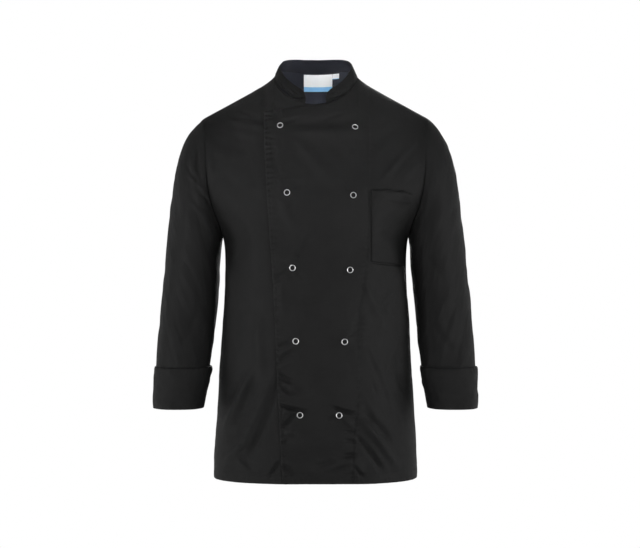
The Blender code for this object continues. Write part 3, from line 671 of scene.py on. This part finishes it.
def underRelief(relief, x, z):
    # the under front lies lower where the other front covers it, and is pressed by its creases
    edge = freeEdge(z)
    lapAngle = sectionAngle(np.abs(edge) / halfWidth(z)) + fronts["underStart"]
    angle = sectionAngle(np.clip(-x / halfWidth(z), 0, 1))
    beside = ease((angle - lapAngle) / fronts["underSide"])
    low, high = fronts["underRises"]
    above = ease((z - low) / (high - low))
    deeper = ease((z + 0.15) / 0.06) * ease(x / 0.03)
    deeper += 1.8 * groove(z - chestZ, 0.06) * ease((x - 0.02) / 0.03)
    under = (torso["wall"] + torso["layerGap"]) * (1 - beside) * (1 - above) + fronts["underExtra"] * deeper
    pressed = np.minimum(creaseRelief(fronts["overCreases"], x, z), 0) * ease((x - edge - 0.004) / 0.006)
    high = ease((z + 0.26) / 0.06)
    shade = fronts["besideEdge"] * (1 + high) * groove(x - edge - 0.0008, 0.0028 + 0.0014 * high)
    return relief * (1 - 0.8 * ease((x + 0.06) / 0.02)) + pressed - under - shade


def frontPanel(name, node, side, creases, seed):
    parts = columnParts()
    points = panelGrid(-1, lambda z: side * frontShare(parts, z), lambda x: frontTop(x, side), len(parts),
                       fronts["rowsBelow"][side], fronts["rowsAbove"][side])
    points = softenChest(points, fromEdge(points, "right"), fronts["evened"][side])
    x, z = points[..., 0], points[..., 2]
    free, seam, hem, top = (fromEdge(points, edge) for edge in ("left", "right", "bottom", "top"))
    relief = creaseRelief(creases, x, z) * ease(seam / 0.02)
    relief += crumple(x, z, fronts["crumple"], seed)
    shirred = 0.95 + 0.35 * ease((z + 0.22) / 0.05) + 0.35 * ease((-0.44 - z) / 0.08)
    relief += puckers(free, z, fronts["puckerDepth"] * shirred, 0.01, seed + 2)
    relief += puckers(hem, x, 0.0005, 0.014, seed + 4)
    relief *= ease(seam / 0.012) * (1 - ease((x * side - neckX) / 0.01) * (1 - ease(top / 0.012)))
    relief += edgeRoll(seam, 0.0008, 0.002) + edgeRoll(free, 0.0006, 0.0016) + hemLine(hem)
    relief -= 0.0002 * groove(free - fronts["stitchIn"], 0.0012)
    relief += edgeRoll(top, 0.0026, 0.003) * ease((0.08 - np.abs(x)) / 0.006)
    relief = relief + overRelief(x, z, top, seed) if side > 0 else underRelief(relief, x, z)
    shift = (0, -seamGap / 2, 0)
    return raisedShell(name, node, points, (0, -1, 0), relief, torso["wall"], shift)


frontLeft, overPoints = frontPanel("frontLeft", "front_left", 1, fronts["overCreases"], 11)
frontRight, underPoints = frontPanel("frontRight", "front_right", -1, fronts["underCreases"], 31)
print("fronts made")


# the back

backPanel = {
    "columns": 120,
    "rows": (170, 125),
    "evened": 160,
    "crumple": ((0.0014, 0.06, 0.1, 0), (0.0004, 0.018, 0.03, 1)),
    "creases": (
        (-150, -270, -60, -400, 12, 13, 5), (-155, -300, -85, -440, 10, 10, 3.6),
        (-158, -330, -110, -450, 6, 8, 2.6), (150, -265, 66, -410, -12, 13, 5.2),
        (156, -300, 94, -430, -10, 10, 3.4), (160, -345, 116, -470, -6, 8, 2.8),
        (-40, -430, -64, -700, 10, 14, 5), (36, -470, 78, -725, 8, 15, 5.2),
        (-110, -520, -130, -728, -6, 12, 4.2), (118, -540, 134, -728, 5, 11, 4),
        (4, -560, -6, -730, 3, 10, 3), (-70, -20, -120, -90, 4, 8, 2.4), (66, -22, 124, -96, -4, 8, 2.6),
        (-50, -50, 60, -56, 6, 12, 2.4), (-150, -120, -126, -220, 6, 10, 3),
        (152, -110, 128, -215, -6, 10, 3), (-20, -300, 40, -345, -6, 12, 2.6),
        (-90, -470, -20, -500, 4, 8, 2.2), (20, -440, 86, -410, 4, 8, 2.2),
    ),
}


def backTop(x):
    return np.where(np.abs(x) > neckX - 1e-9, ridgeHeight(x, 1), neckHeight(x, 1))


backThird = backPanel["columns"] // 3


def makeBack():
    # the middle third of the columns runs under the neck
    corner = sectionAngle(neckX / tipX)
    steps = np.arange(backPanel["columns"] + 1) / backThird
    share = sectionShare(np.interp(steps, range(4), (-90, -corner, corner, 90)))
    points = panelGrid(1, lambda z: share, backTop, len(share), *backPanel["rows"])
    seam = np.minimum(fromEdge(points, "left"), fromEdge(points, "right"))
    points = softenChest(points, seam, backPanel["evened"])
    x, z = points[..., 0], points[..., 2]
    hem = fromEdge(points, "bottom")
    seam = np.minimum(fromEdge(points, "left"), fromEdge(points, "right"))
    relief = creaseRelief(backPanel["creases"], x, z) * ease(seam / 0.02)
    relief += crumple(x, z, backPanel["crumple"], 51)
    relief = (relief + puckers(hem, x, 0.0005, 0.014, 53)) * ease(seam / 0.012)
    relief = (relief + edgeRoll(seam) + hemLine(hem)) * ease(fromEdge(points, "top") / 0.01)
    shift = (0, seamGap / 2, 0)
    return raisedShell("backPanel", "back", points, (0, 1, 0), relief, torso["wall"], shift)


backPiece, backPoints = makeBack()
print("back made")


# sleeves and turned-up cuffs

sleeves = {
    "stations": (    # outer edge's x and z, inner edge's x and z, middle's y, half depth
        (210, -69, 173.6, -293, 0, 66), (223.7, -82.5, 174.3, -295.7, 2.5, 69),
        (237.6, -101.3, 175, -298.7, 2, 70), (249.8, -127.5, 175.7, -302.2, 2, 70.3),
        (260.6, -165, 176.5, -306.7, 2.5, 70), (268.2, -215, 177.3, -315, 3, 69.6),
        (274.5, -270, 178.6, -334, 3.5, 68.4), (280.5, -325, 180.2, -360, 3, 66),
        (285.4, -376, 182.5, -392, 1, 63.5), (289.9, -424, 185.3, -428, -4, 60),
        (293, -466, 188.8, -466, -12, 56), (294.9, -503, 193, -503, -22, 52),
        (295.3, -527, 195.5, -527, -30, 49), (296.9, -556, 199.6, -556, -36.5, 48.6),
        (296.9, -583, 205.9, -583, -41.5, 47.6), (295.1, -600, 210.4, -600, -45, 45.6),
    ),
    "squarer": 0.45,
    "backStart": 0.064,
    "capBlend": 4.0,
    "rows": 190,
    "around": 140,
    "crumple": ((0.0014, 0.05, 0.05, 0), (0.0006, 0.02, 0.02, 1), (0.00022, 0.008, 0.009, 2)),
    "insideCuff": 0.43,    # cloth of the sleeve inside the cuff lies smooth from here
    "leftFront": (
        (232, -120, 238, -200, 3, 10, -1), (262, -235, 228, -290, 4, 12, 1.2),
        (205, -320, 240, -372, 4, 12, 1.2), (270, -400, 235, -450, 4, 14, 1.4),
        (210, -440, 255, -505, 4, 10, 1.4),
    ),
    "leftBehind": (
        (190, -300, 260, -330, 6, 12, 3), (192, -335, 275, -345, -6, 12, 3),
        (200, -380, 265, -420, 5, 14, 2.2), (225, -130, 205, -215, 4, 12, 2),
        (280, -420, 225, -490, 5, 13, 1.8),
    ),
    "rightFront": (
        (-216, -124, -211, -186, 3, 6.2, 2.6), (-228, -142, -225, -180, 2, 6, -1),
        (-240, -158, -211, -207, -3, 6.5, 1.4), (-234, -180, -199, -214, -2, 6, -1.2),
        (-222, -203, -184, -240, -3, 6.5, 1.6), (-230, -225, -195, -275, -3, 9, -1.4),
        (-262, -280, -245, -350, 3, 12, 1.2), (-268, -380, -262, -490, 3, 12, -1.6),
        (-215, -420, -250, -500, -4, 12, 1.2),
    ),
    "rightBehind": (
        (-190, -305, -258, -325, -6, 12, 3), (-192, -330, -272, -360, 6, 12, 2.6),
        (-205, -385, -270, -410, -5, 14, 2.2), (-222, -125, -206, -220, -4, 12, 2.2),
        (-275, -430, -220, -480, 5, 12, 1.8),
    ),
}
cuffs = {
    "stations": (    # outer x, inner x, z, middle's y, half depth
        (299.5, 192, -531, -31, 52.5), (300.3, 196.2, -556, -36.5, 52),
        (300.3, 202.5, -583, -41.5, 51), (298.5, 207, -606, -45, 49),
    ),
    "cloth": 0.0026,
    "crumple": ((0.0014, 0.04, 0.03, 0), (0.0008, 0.013, 0.011, 3)),
    "rows": 40,
    "around": 160,
}


def ringAngles(count):
    return (math.pi - math.tau * np.arange(count) / count)[None, :]


def alongStations(piece):
    # each measure of a piece's stations, drawn through at its rows
    measures = np.array(piece["stations"]).T / 1000
    steps = np.arange(measures.shape[1])
    t = np.linspace(0, steps[-1], piece["rows"])[:, None]
    return t, [through(steps, measure, t) for measure in measures]


def squared(value, squareness):
    return np.sign(value) * np.abs(value) ** (2 / squareness)


def ovalRing(outerX, outerZ, innerX, innerZ, middle, depth, angle, squareness):
    across = 0.5 + 0.5 * squared(np.cos(angle), squareness)
    x = innerX + (outerX - innerX) * across
    z = innerZ + (outerZ - innerZ) * across
    return np.stack((x, middle - depth * squared(np.sin(angle), squareness), z), axis=-1)


def sleeveGrid(side):
    # ovals that lean from the armhole's edge, which stands on the torso, to the cuff
    angle = ringAngles(sleeves["around"])
    t, (outerX, outerZ, innerX, innerZ, middle, frontDepth) = alongStations(sleeves)
    stations = np.array(sleeves["stations"]) / 1000
    backDepths = np.append(sleeves["backStart"], stations[1:, 5])
    depth = np.where(np.sin(angle) >= 0, frontDepth, through(np.arange(len(stations)), backDepths, t))
    squareness = 2 + sleeves["squarer"] * ease((t - 1) / 4)
    points = ovalRing(outerX, outerZ, innerX, innerZ, middle, depth, angle, squareness)
    across = 0.5 + 0.5 * squared(np.cos(angle), squareness)
    edgeZ = chestZ + (tipZ - chestZ) * across
    swell = halfWidth(edgeZ) - (stations[0, 2] + (stations[0, 0] - stations[0, 2]) * across)
    points[..., 0] += swell * np.clip(1 - t / sleeves["capBlend"], 0, 1)
    points[..., 0] *= side
    return points


def sleeveShell(name, node, side, word, seed):
    points = sleeveGrid(side)
    along = fromEdge(points, "bottom")
    angle = ringAngles(sleeves["around"]) + 0 * along
    around = angle * 0.055
    x, z, turn = points[..., 0], points[..., 2], np.sin(angle)
    relief = creaseRelief(sleeves[word + "Front"], x, z) * ease(turn / 0.5)
    relief += creaseRelief(sleeves[word + "Behind"], x, z) * ease(-turn / 0.5)
    relief += crumple(around, along, sleeves["crumple"], seed)
    relief = relief * ease(along / 0.012) + edgeRoll(along, 0.0008, 0.002)
    relief *= ease((sleeves["insideCuff"] - along) / 0.03)
    away = points - points.mean(axis=1, keepdims=True)
    shift = (side * seamGap, 0, 0)
    return raisedShell(name, node, points, away, relief, torso["wall"], shift, ring=True)[0]


def cuffShell(name, node, side, seed):
    angle = ringAngles(cuffs["around"])
    t, (outerX, innerX, height, middle, depth) = alongStations(cuffs)
    points = ovalRing(outerX, height, innerX, height, middle, depth, angle, 2 + sleeves["squarer"])
    points[..., 0] *= side
    around, z = angle * 0.05 + 0 * t, points[..., 2]
    top = fromEdge(points, "bottom")
    relief = crumple(around, z, cuffs["crumple"], seed)
    relief += puckers(top, around, 0.0006, 0.009, seed + 1) - 0.0011 * groove(top, 0.0022)
    away = points - points.mean(axis=1, keepdims=True)
    return raisedShell(name, node, points, away, relief, cuffs["cloth"], ring=True)[0]


sleeveLeft = sleeveShell("sleeveLeft", "sleeve_left", 1, "left", 61)
sleeveRight = sleeveShell("sleeveRight", "sleeve_right", -1, "right", 71)
cuffLeft = cuffShell("cuffLeft", "cuff_left", 1, 81)
cuffRight = cuffShell("cuffRight", "cuff_right", -1, 91)
print("sleeves and cuffs made")


# collar, lining, facing and labels

collar = {
    "topX": 0.0665,
    "topZ": (0.0302, -0.0357, -0.0187),     # by the cosine of the angle off the front and its square
    "topY": (-0.01, -0.0535, 0.008),     # by its cosine and the square of its sine
    "bulge": 0.0016,
    "cornerAngle": (14.5, 17.5, 22.0, 33.0),
    "cornerShare": (0.46, 0.74, 0.9, 1.0),
    "cloth": 0.0012,
    "columns": 260,
    "rows": 40,
    "footRoll": 0.0016,
    "stitchIn": 0.003,
    "footLap": 0.0004,      # so that no light shows through the neck seam
    "creases": (    # in space, on the half that faces the front
        (-66, -16, -45, -35.3, -2, 2.2, 4.4), (-47, -35, -16, -35, 2, 2.2, 4.8),
        (-64, -8, -50, -26, 1, 3, -1.2), (-58, -14, -40, -30, 1, 2.5, 1.4),
        (-46, -18, -36, -31, 1, 2.6, -1.4), (-36, -24, -28, -34, 0, 2.2, 1.4),
        (20, -30, 36, -22, 1, 2.6, 1.4), (24, -38, 50, -27, 2, 3, 1.6), (40, -20, 60, -12, 1, 4, -1),
        (56, -24, 68, -4, 1, 3.5, 1.4),
    ),
}


def footLine():
    # the neck seam from the collar's right end round the back to its left end, with its angles
    start = fronts["columns"][0]
    own = slice(start, start + fronts["columns"][1] + 1)
    right, left = underPoints[-1, own], overPoints[-1, own][::-1]
    behind = backPoints[-1, backThird + 1:2 * backThird]
    points = np.concatenate((right, behind, left))
    turn = np.degrees(np.arcsin(np.clip(np.abs(points[:, 0]) / neckX, 0, 1)))
    turn[len(right):-len(left)] = 180 - turn[len(right):-len(left)]
    turn = turn * np.sign(points[:, 0] + 1e-9)
    turn[turn < 0] += 360
    wanted = np.linspace(turn[0], turn[-1], collar["columns"])
    order = np.argsort(turn)
    return np.stack([np.interp(wanted, turn[order], points[order, i]) for i in range(3)], axis=-1), wanted


def collarEdge(angle):
    cosine, sine = np.cos(np.radians(angle)), np.sin(np.radians(angle))
    y = collar["topY"][0] + collar["topY"][1] * cosine + collar["topY"][2] * sine**2
    z = collar["topZ"][0] + collar["topZ"][1] * cosine + collar["topZ"][2] * cosine**2
    return np.stack((collar["topX"] * sine, y, z), axis=-1)


def collarGrid():
    foot, angle = footLine()
    rise = collarEdge(angle) - foot
    start = foot - rise / np.linalg.norm(rise, axis=1, keepdims=True) * collar["footLap"]
    away = foot * np.array((1, 1, 0))
    away /= np.linalg.norm(away, axis=1, keepdims=True)
    share = through(collar["cornerAngle"], collar["cornerShare"], np.minimum(angle, 360 - angle))
    height = np.linspace(0, 1, collar["rows"])[:, None] * share[None, :]
    points = start[None] + rise[None] * height[..., None]
    x, y, z = points[..., 0], points[..., 1], points[..., 2]
    bulge = collar["bulge"] * 4 * height * (1 - height)
    bulge = bulge + 0.0009 * unevenCloth(angle[None, :] * 0.0012 + 0 * height, height * 0.04, 0.014, 0.018, 7)
    footTuck = ease(-y / 0.02)
    bulge += collar["footRoll"] * (groove(height - 0.08, 0.1) - 1.6 * groove(height, 0.03)) * footTuck
    bulge += creaseRelief(collar["creases"], x, z) * ease(-y / 0.01)
    low = 1 - ease(height / 0.06)
    fromEnd = np.minimum(np.arange(len(angle)), np.arange(len(angle))[::-1])
    bulge *= (1 - low + footTuck * low) * ease(fromEnd / 9)[None, :]
    return points + away[None] * bulge[..., None]


collarPoints = collarGrid()
collarNormals = outwardNormals(collarPoints, collarPoints * np.array((1, 1, 0)))
# the outer collar wears the darker copy of the twill: painted shade
collarPiece = clothShell("standCollar", "collar", collarPoints, collarNormals, collar["cloth"],
                         finish="collarTwillPaintedShade")
liningPoints = collarPoints - collarNormals * (collar["cloth"] + seamGap)
collarLining = clothShell("collarLining", "collar_lining", liningPoints, collarNormals, collar["cloth"],
                          finish="navyLining")

facing = {"rows": 72, "wall": 0.0012}
facingBlock = (slice(-1 - facing["rows"], None), slice(backThird, 2 * backThird + 1))
facingNormals = outwardNormals(backPoints, (0, 1, 0))[facingBlock]
facingPoints = backPoints[facingBlock] - facingNormals * (torso["wall"] + seamGap)
# the facing wears the lighter copy of the lining: painted light
neckFacing = clothShell("neckFacing", "neck_facing", facingPoints, facingNormals, facing["wall"],
                        finish="facingLiningPaintedLight")


def seatFinder(carrier):
    # gives the place on a piece's side that faces the front, and its outward direction
    mesh = carrier.data
    corners = [vertex.co for vertex in mesh.vertices]
    tree = BVHTree.FromPolygons(corners, [tuple(face.vertices) for face in mesh.polygons])
    return lambda x, z: tree.ray_cast(Vector((x, -1.0, z)), Vector((0.0, 1.0, 0.0)))[:2]


labels = {
    "neckLabel": {"x": (-0.0229, 0.0317), "z": (-0.0095, 0.0205), "band": 0.24},
    "sizeTag": {"x": (0.0325, 0.0445), "z": (0.012, 0.0205), "band": 0.0},
    "columns": 40,
    "rows": 30,
    "wall": 0.0008,
    "stand": 0.0006,    # how far the lower edge stands off
}


def makeLabel(name, node):
    facts = labels[name]
    xs, zs = np.linspace(*facts["x"], labels["columns"]), np.linspace(*facts["z"], labels["rows"])
    points = np.array([[inside(x, z)[0] for x in xs] for z in zs])
    outward = outwardNormals(points)
    down = np.linspace(1, 0, labels["rows"])[:, None]
    lift = seamGap + labels["wall"] + labels["stand"] * down**2
    piece = clothShell(name, node, points + outward * lift[..., None], outward, labels["wall"],
                       finish="labelTape")
    piece.data.materials.append(finishes["labelBand"])
    limit = facts["z"][0] + facts["band"] * (facts["z"][1] - facts["z"][0])
    for face in piece.data.polygons:
        face.material_index = 1 if face.center.z < limit else 0
    return piece


inside = seatFinder(neckFacing)
neckLabel = makeLabel("neckLabel", "neck_label")
sizeTag = makeLabel("sizeTag", "size_tag")
print("collar, facing and labels made")


# the chest pocket

pocket = {
    "x": (0.101, 0.176, 0.101, 0.159),      # top inner, top outer, bottom inner, bottom outer
    "z": (-0.208, -0.214, -0.337, -0.342),
    "rows": 90,
    "columns": 70,
    "wall": 0.0012,
    "hem": 0.018,
    "stitchIn": 0.0018,
    "puff": 0.0018,
    "mouth": 0.0036,
}
outside = seatFinder(frontLeft)


def makePocket():
    innerTop, outerTop, innerLow, outerLow = np.array(list(zip(pocket["x"], pocket["z"])))
    rows, across = [], np.linspace(0, 1, pocket["columns"])
    for v in np.linspace(0, 1, pocket["rows"]):
        inner, outer = innerLow * (1 - v) + innerTop * v, outerLow * (1 - v) + outerTop * v
        rows.append([outside(*(inner * (1 - u) + outer * u))[0] for u in across])
    points = np.array(rows)
    outward = outwardNormals(points)
    left, right, low, top = (fromEdge(points, edge) for edge in ("left", "right", "bottom", "top"))
    near = np.minimum(np.minimum(left, right), low)
    lift = seamGap + pocket["wall"] + pocket["puff"] * ease(near / 0.025) ** 0.7
    lift += pocket["mouth"] * ease(near / 0.02) * (1 - ease(top / 0.03))
    lift += 0.0006 * (1 - ease((top - pocket["hem"] + 0.001) / 0.0015)) - 0.0008 * groove(top, 0.0015)
    lift -= 0.0004 * groove(near - pocket["stitchIn"], 0.0008)
    lift += 0.0006 * unevenCloth(points[..., 0], points[..., 2], 0.03, 0.03, 5) * ease(near / 0.015)
    points = points + outward * lift[..., None]
    return clothShell("chestPocket", "chest_pocket", points, outward, pocket["wall"]), points


chestPocket, pocketPoints = makePocket()
print("pocket made")


# ring press studs: one turned profile, placed ten times and joined

studs = {
    "right": ((-0.0645, -0.0896), (-0.0513, -0.2135), (-0.0413, -0.3491), (-0.0356, -0.4806),
              (-0.0279, -0.6133)),
    "left": ((0.0718, -0.0927), (0.068, -0.2181), (0.0621, -0.3527), (0.0523, -0.4817), (0.0424, -0.6138)),
    "profile": ((0.0044, -0.0002), (0.0044, 0.0005), (0.0046, 0.001), (0.0049, 0.0013), (0.0052, 0.0013),
                (0.0055, 0.001), (0.0056, 0.0005), (0.0056, -0.0002)),    # radius, height
    "around": 40,
}


def makeStuds():
    points, faces = [], []
    sides, around = len(studs["profile"]), studs["around"]
    for x, z in studs["right"] + studs["left"]:
        place, normal = outside(x, z)
        turn = normal.to_track_quat("Z", "Y")
        first = len(points)
        for i in range(around):
            cosine, sine = math.cos(math.tau * i / around), math.sin(math.tau * i / around)
            points += [place + turn @ Vector((radius * cosine, radius * sine, height))
                       for radius, height in studs["profile"]]
            for j in range(sides):
                own, following = first + i * sides, first + (i + 1) % around * sides
                faces.append((own + j, following + j, following + (j + 1) % sides, own + (j + 1) % sides))
    nodes = [f"stud_{column}_{number}" for column in ("right", "left") for number in range(1, 6)]
    meshPiece("pressStuds", nodes, points, faces, None, "studMetal")


makeStuds()
print("studs made")


# stitches: one small stitch set along traced lines

stitches = {
    "pitch": 0.0032,
    "length": 0.0023,
    "thickness": 0.00042,
    "lift": 0.0002,
    "twin": 0.0017,
    "twinTop": -0.055,
    "lapEnd": 0.01,
    "lapRow": 200,         # the over front's row above which its top edge is stitched
    "pocketBar": 0.006,
    "barRows": 14,
    "seed": 4,
}


def stitchTree():
    tree = bpy.data.node_groups.new("stitchRow", "GeometryNodeTree")
    for label, kind in (("Geometry", "Geometry"), ("Pitch", "Float"), ("Length", "Float"),
                        ("Thickness", "Float"), ("Seed", "Int"), ("Material", "Material")):
        tree.interface.new_socket(label, in_out="INPUT", socket_type="NodeSocket" + kind)
    tree.interface.new_socket("Geometry", in_out="OUTPUT", socket_type="NodeSocketGeometry")
    given = addNode(tree, "NodeGroupInput")
    curve = addNode(tree, "GeometryNodeMeshToCurve", {"Mesh": given["Geometry"]})
    spaced = addNode(tree, "GeometryNodeResampleCurve", {"Curve": curve["Curve"], "Length": given["Pitch"]},
                     mode="LENGTH")
    ball = addNode(tree, "GeometryNodeMeshIcoSphere", {"Radius": 0.5})
    smooth = addNode(tree, "GeometryNodeSetShadeSmooth", {"Geometry": ball["Mesh"]})
    outward = addNode(tree, "GeometryNodeInputNamedAttribute", {"Name": "outward"}, data_type="FLOAT_VECTOR")
    tangent = addNode(tree, "GeometryNodeInputTangent")
    turned = addNode(tree, "FunctionNodeAxesToRotation", {"Primary Axis": outward["Attribute"],
                     "Secondary Axis": tangent["Tangent"]}, primary_axis="Z", secondary_axis="X")
    uneven = addNode(tree, "FunctionNodeRandomValue", {2: 0.85, 3: 1.1, "Seed": given["Seed"]},
                     data_type="FLOAT")
    longer = addNode(tree, "ShaderNodeMath", {0: given["Length"], 1: uneven[1]}, operation="MULTIPLY")
    thick = given["Thickness"]
    size = addNode(tree, "ShaderNodeCombineXYZ", {"X": longer[0], "Y": thick, "Z": thick})
    facts = {"Points": spaced["Curve"], "Instance": smooth["Geometry"],
             "Rotation": turned["Rotation"], "Scale": size["Vector"]}
    placed = addNode(tree, "GeometryNodeInstanceOnPoints", facts)
    real = addNode(tree, "GeometryNodeRealizeInstances", {"Geometry": placed["Instances"]})
    facts = {"Geometry": real["Geometry"], "Material": given["Material"]}
    finish = addNode(tree, "GeometryNodeSetMaterial", facts)
    feed(tree, tree.nodes.new("NodeGroupOutput"), {"Geometry": finish["Geometry"]})
    return tree


def traceLine(points, normals, field, value):
    # the line on a grid where a field takes a value, with the outward direction along it
    line = []
    for place, normal, height in zip(points, normals, field - value):
        change = np.nonzero(height[:-1] * height[1:] <= 0)[0]
        if len(change):
            i = change[0]
            t = height[i] / (height[i] - height[i + 1] + 1e-12)
            line.append((place[i] * (1 - t) + place[i + 1] * t, normal[i] * (1 - t) + normal[i + 1] * t))
    return line


def acrossGrid(points, normals, field, value):
    return traceLine(points.swapaxes(0, 1), normals.swapaxes(0, 1), field.swapaxes(0, 1), value)


def edgeLine(points, normals, edge, value):
    trace = traceLine if edge in ("left", "right") else acrossGrid
    return trace(points, normals, fromEdge(points, edge), value)


def stitchLines():
    over, under = outwardNormals(overPoints), outwardNormals(underPoints)
    pocketSide = outwardNormals(pocketPoints)
    lines = [edgeLine(overPoints, over, "bottom", torso["hemFold"]),
             edgeLine(underPoints, under, "bottom", torso["hemFold"]),
             edgeLine(backPoints, outwardNormals(backPoints, (0, 1, 0)), "bottom", torso["hemFold"]),
             edgeLine(overPoints, over, "left", fronts["stitchIn"])]
    x, z = overPoints[..., 0], overPoints[..., 2]
    off = np.where(z < stitches["twinTop"], secondLine(x, z), 9.0)
    for step in (-stitches["twin"] / 2, stitches["twin"] / 2):
        lines.append(traceLine(overPoints, over, off, step))
    lap, low = np.where(x < stitches["lapEnd"], fromEdge(overPoints, "top"), 9.0), stitches["lapRow"]
    lines.append(acrossGrid(overPoints[low:], over[low:], lap[low:], fronts["stitchIn"]))
    for edge, inset in (("left", "stitchIn"), ("right", "stitchIn"), ("bottom", "stitchIn"), ("top", "hem")):
        lines.append(edgeLine(pocketPoints, pocketSide, edge, pocket[inset]))
    bar, low = fromEdge(pocketPoints, "left"), -stitches["barRows"]
    lines.append(traceLine(pocketPoints[low:], pocketSide[low:], bar[low:], stitches["pocketBar"]))
    for edge in ("top", "bottom"):
        lines.append(edgeLine(collarPoints, collarNormals, edge, collar["stitchIn"]))
    return lines


def makeStitches():
    places, outward, edges = [], [], []
    for line in stitchLines():
        first = len(places)
        for place, normal in line:
            unit = normal / np.linalg.norm(normal)
            places.append(place + unit * stitches["lift"])
            outward.append(unit)
        edges += [(i, i + 1) for i in range(first, len(places) - 1)]
    mesh = bpy.data.meshes.new("stitchLines")
    mesh.from_pydata(np.array(places).tolist(), edges, [])
    turned = mesh.attributes.new("outward", "FLOAT_VECTOR", "POINT")
    turned.data.foreach_set("vector", np.array(outward).ravel())
    piece = newObject("stitching", mesh)
    rows = piece.modifiers.new("stitches", "NODES")
    rows.node_group = stitchTree()
    for item in rows.node_group.interface.items_tree:
        if item.in_out == "INPUT" and item.name != "Geometry":
            rows[item.identifier] = stitches.get(item.name.lower(), finishes["thread"])
    plain = bpy.data.meshes.new_from_object(piece.evaluated_get(bpy.context.evaluated_depsgraph_get()))
    piece.modifiers.remove(rows)
    piece.data = plain
    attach(piece, "root")
    print("stitches made:", len(plain.polygons) // 20)


makeStitches()
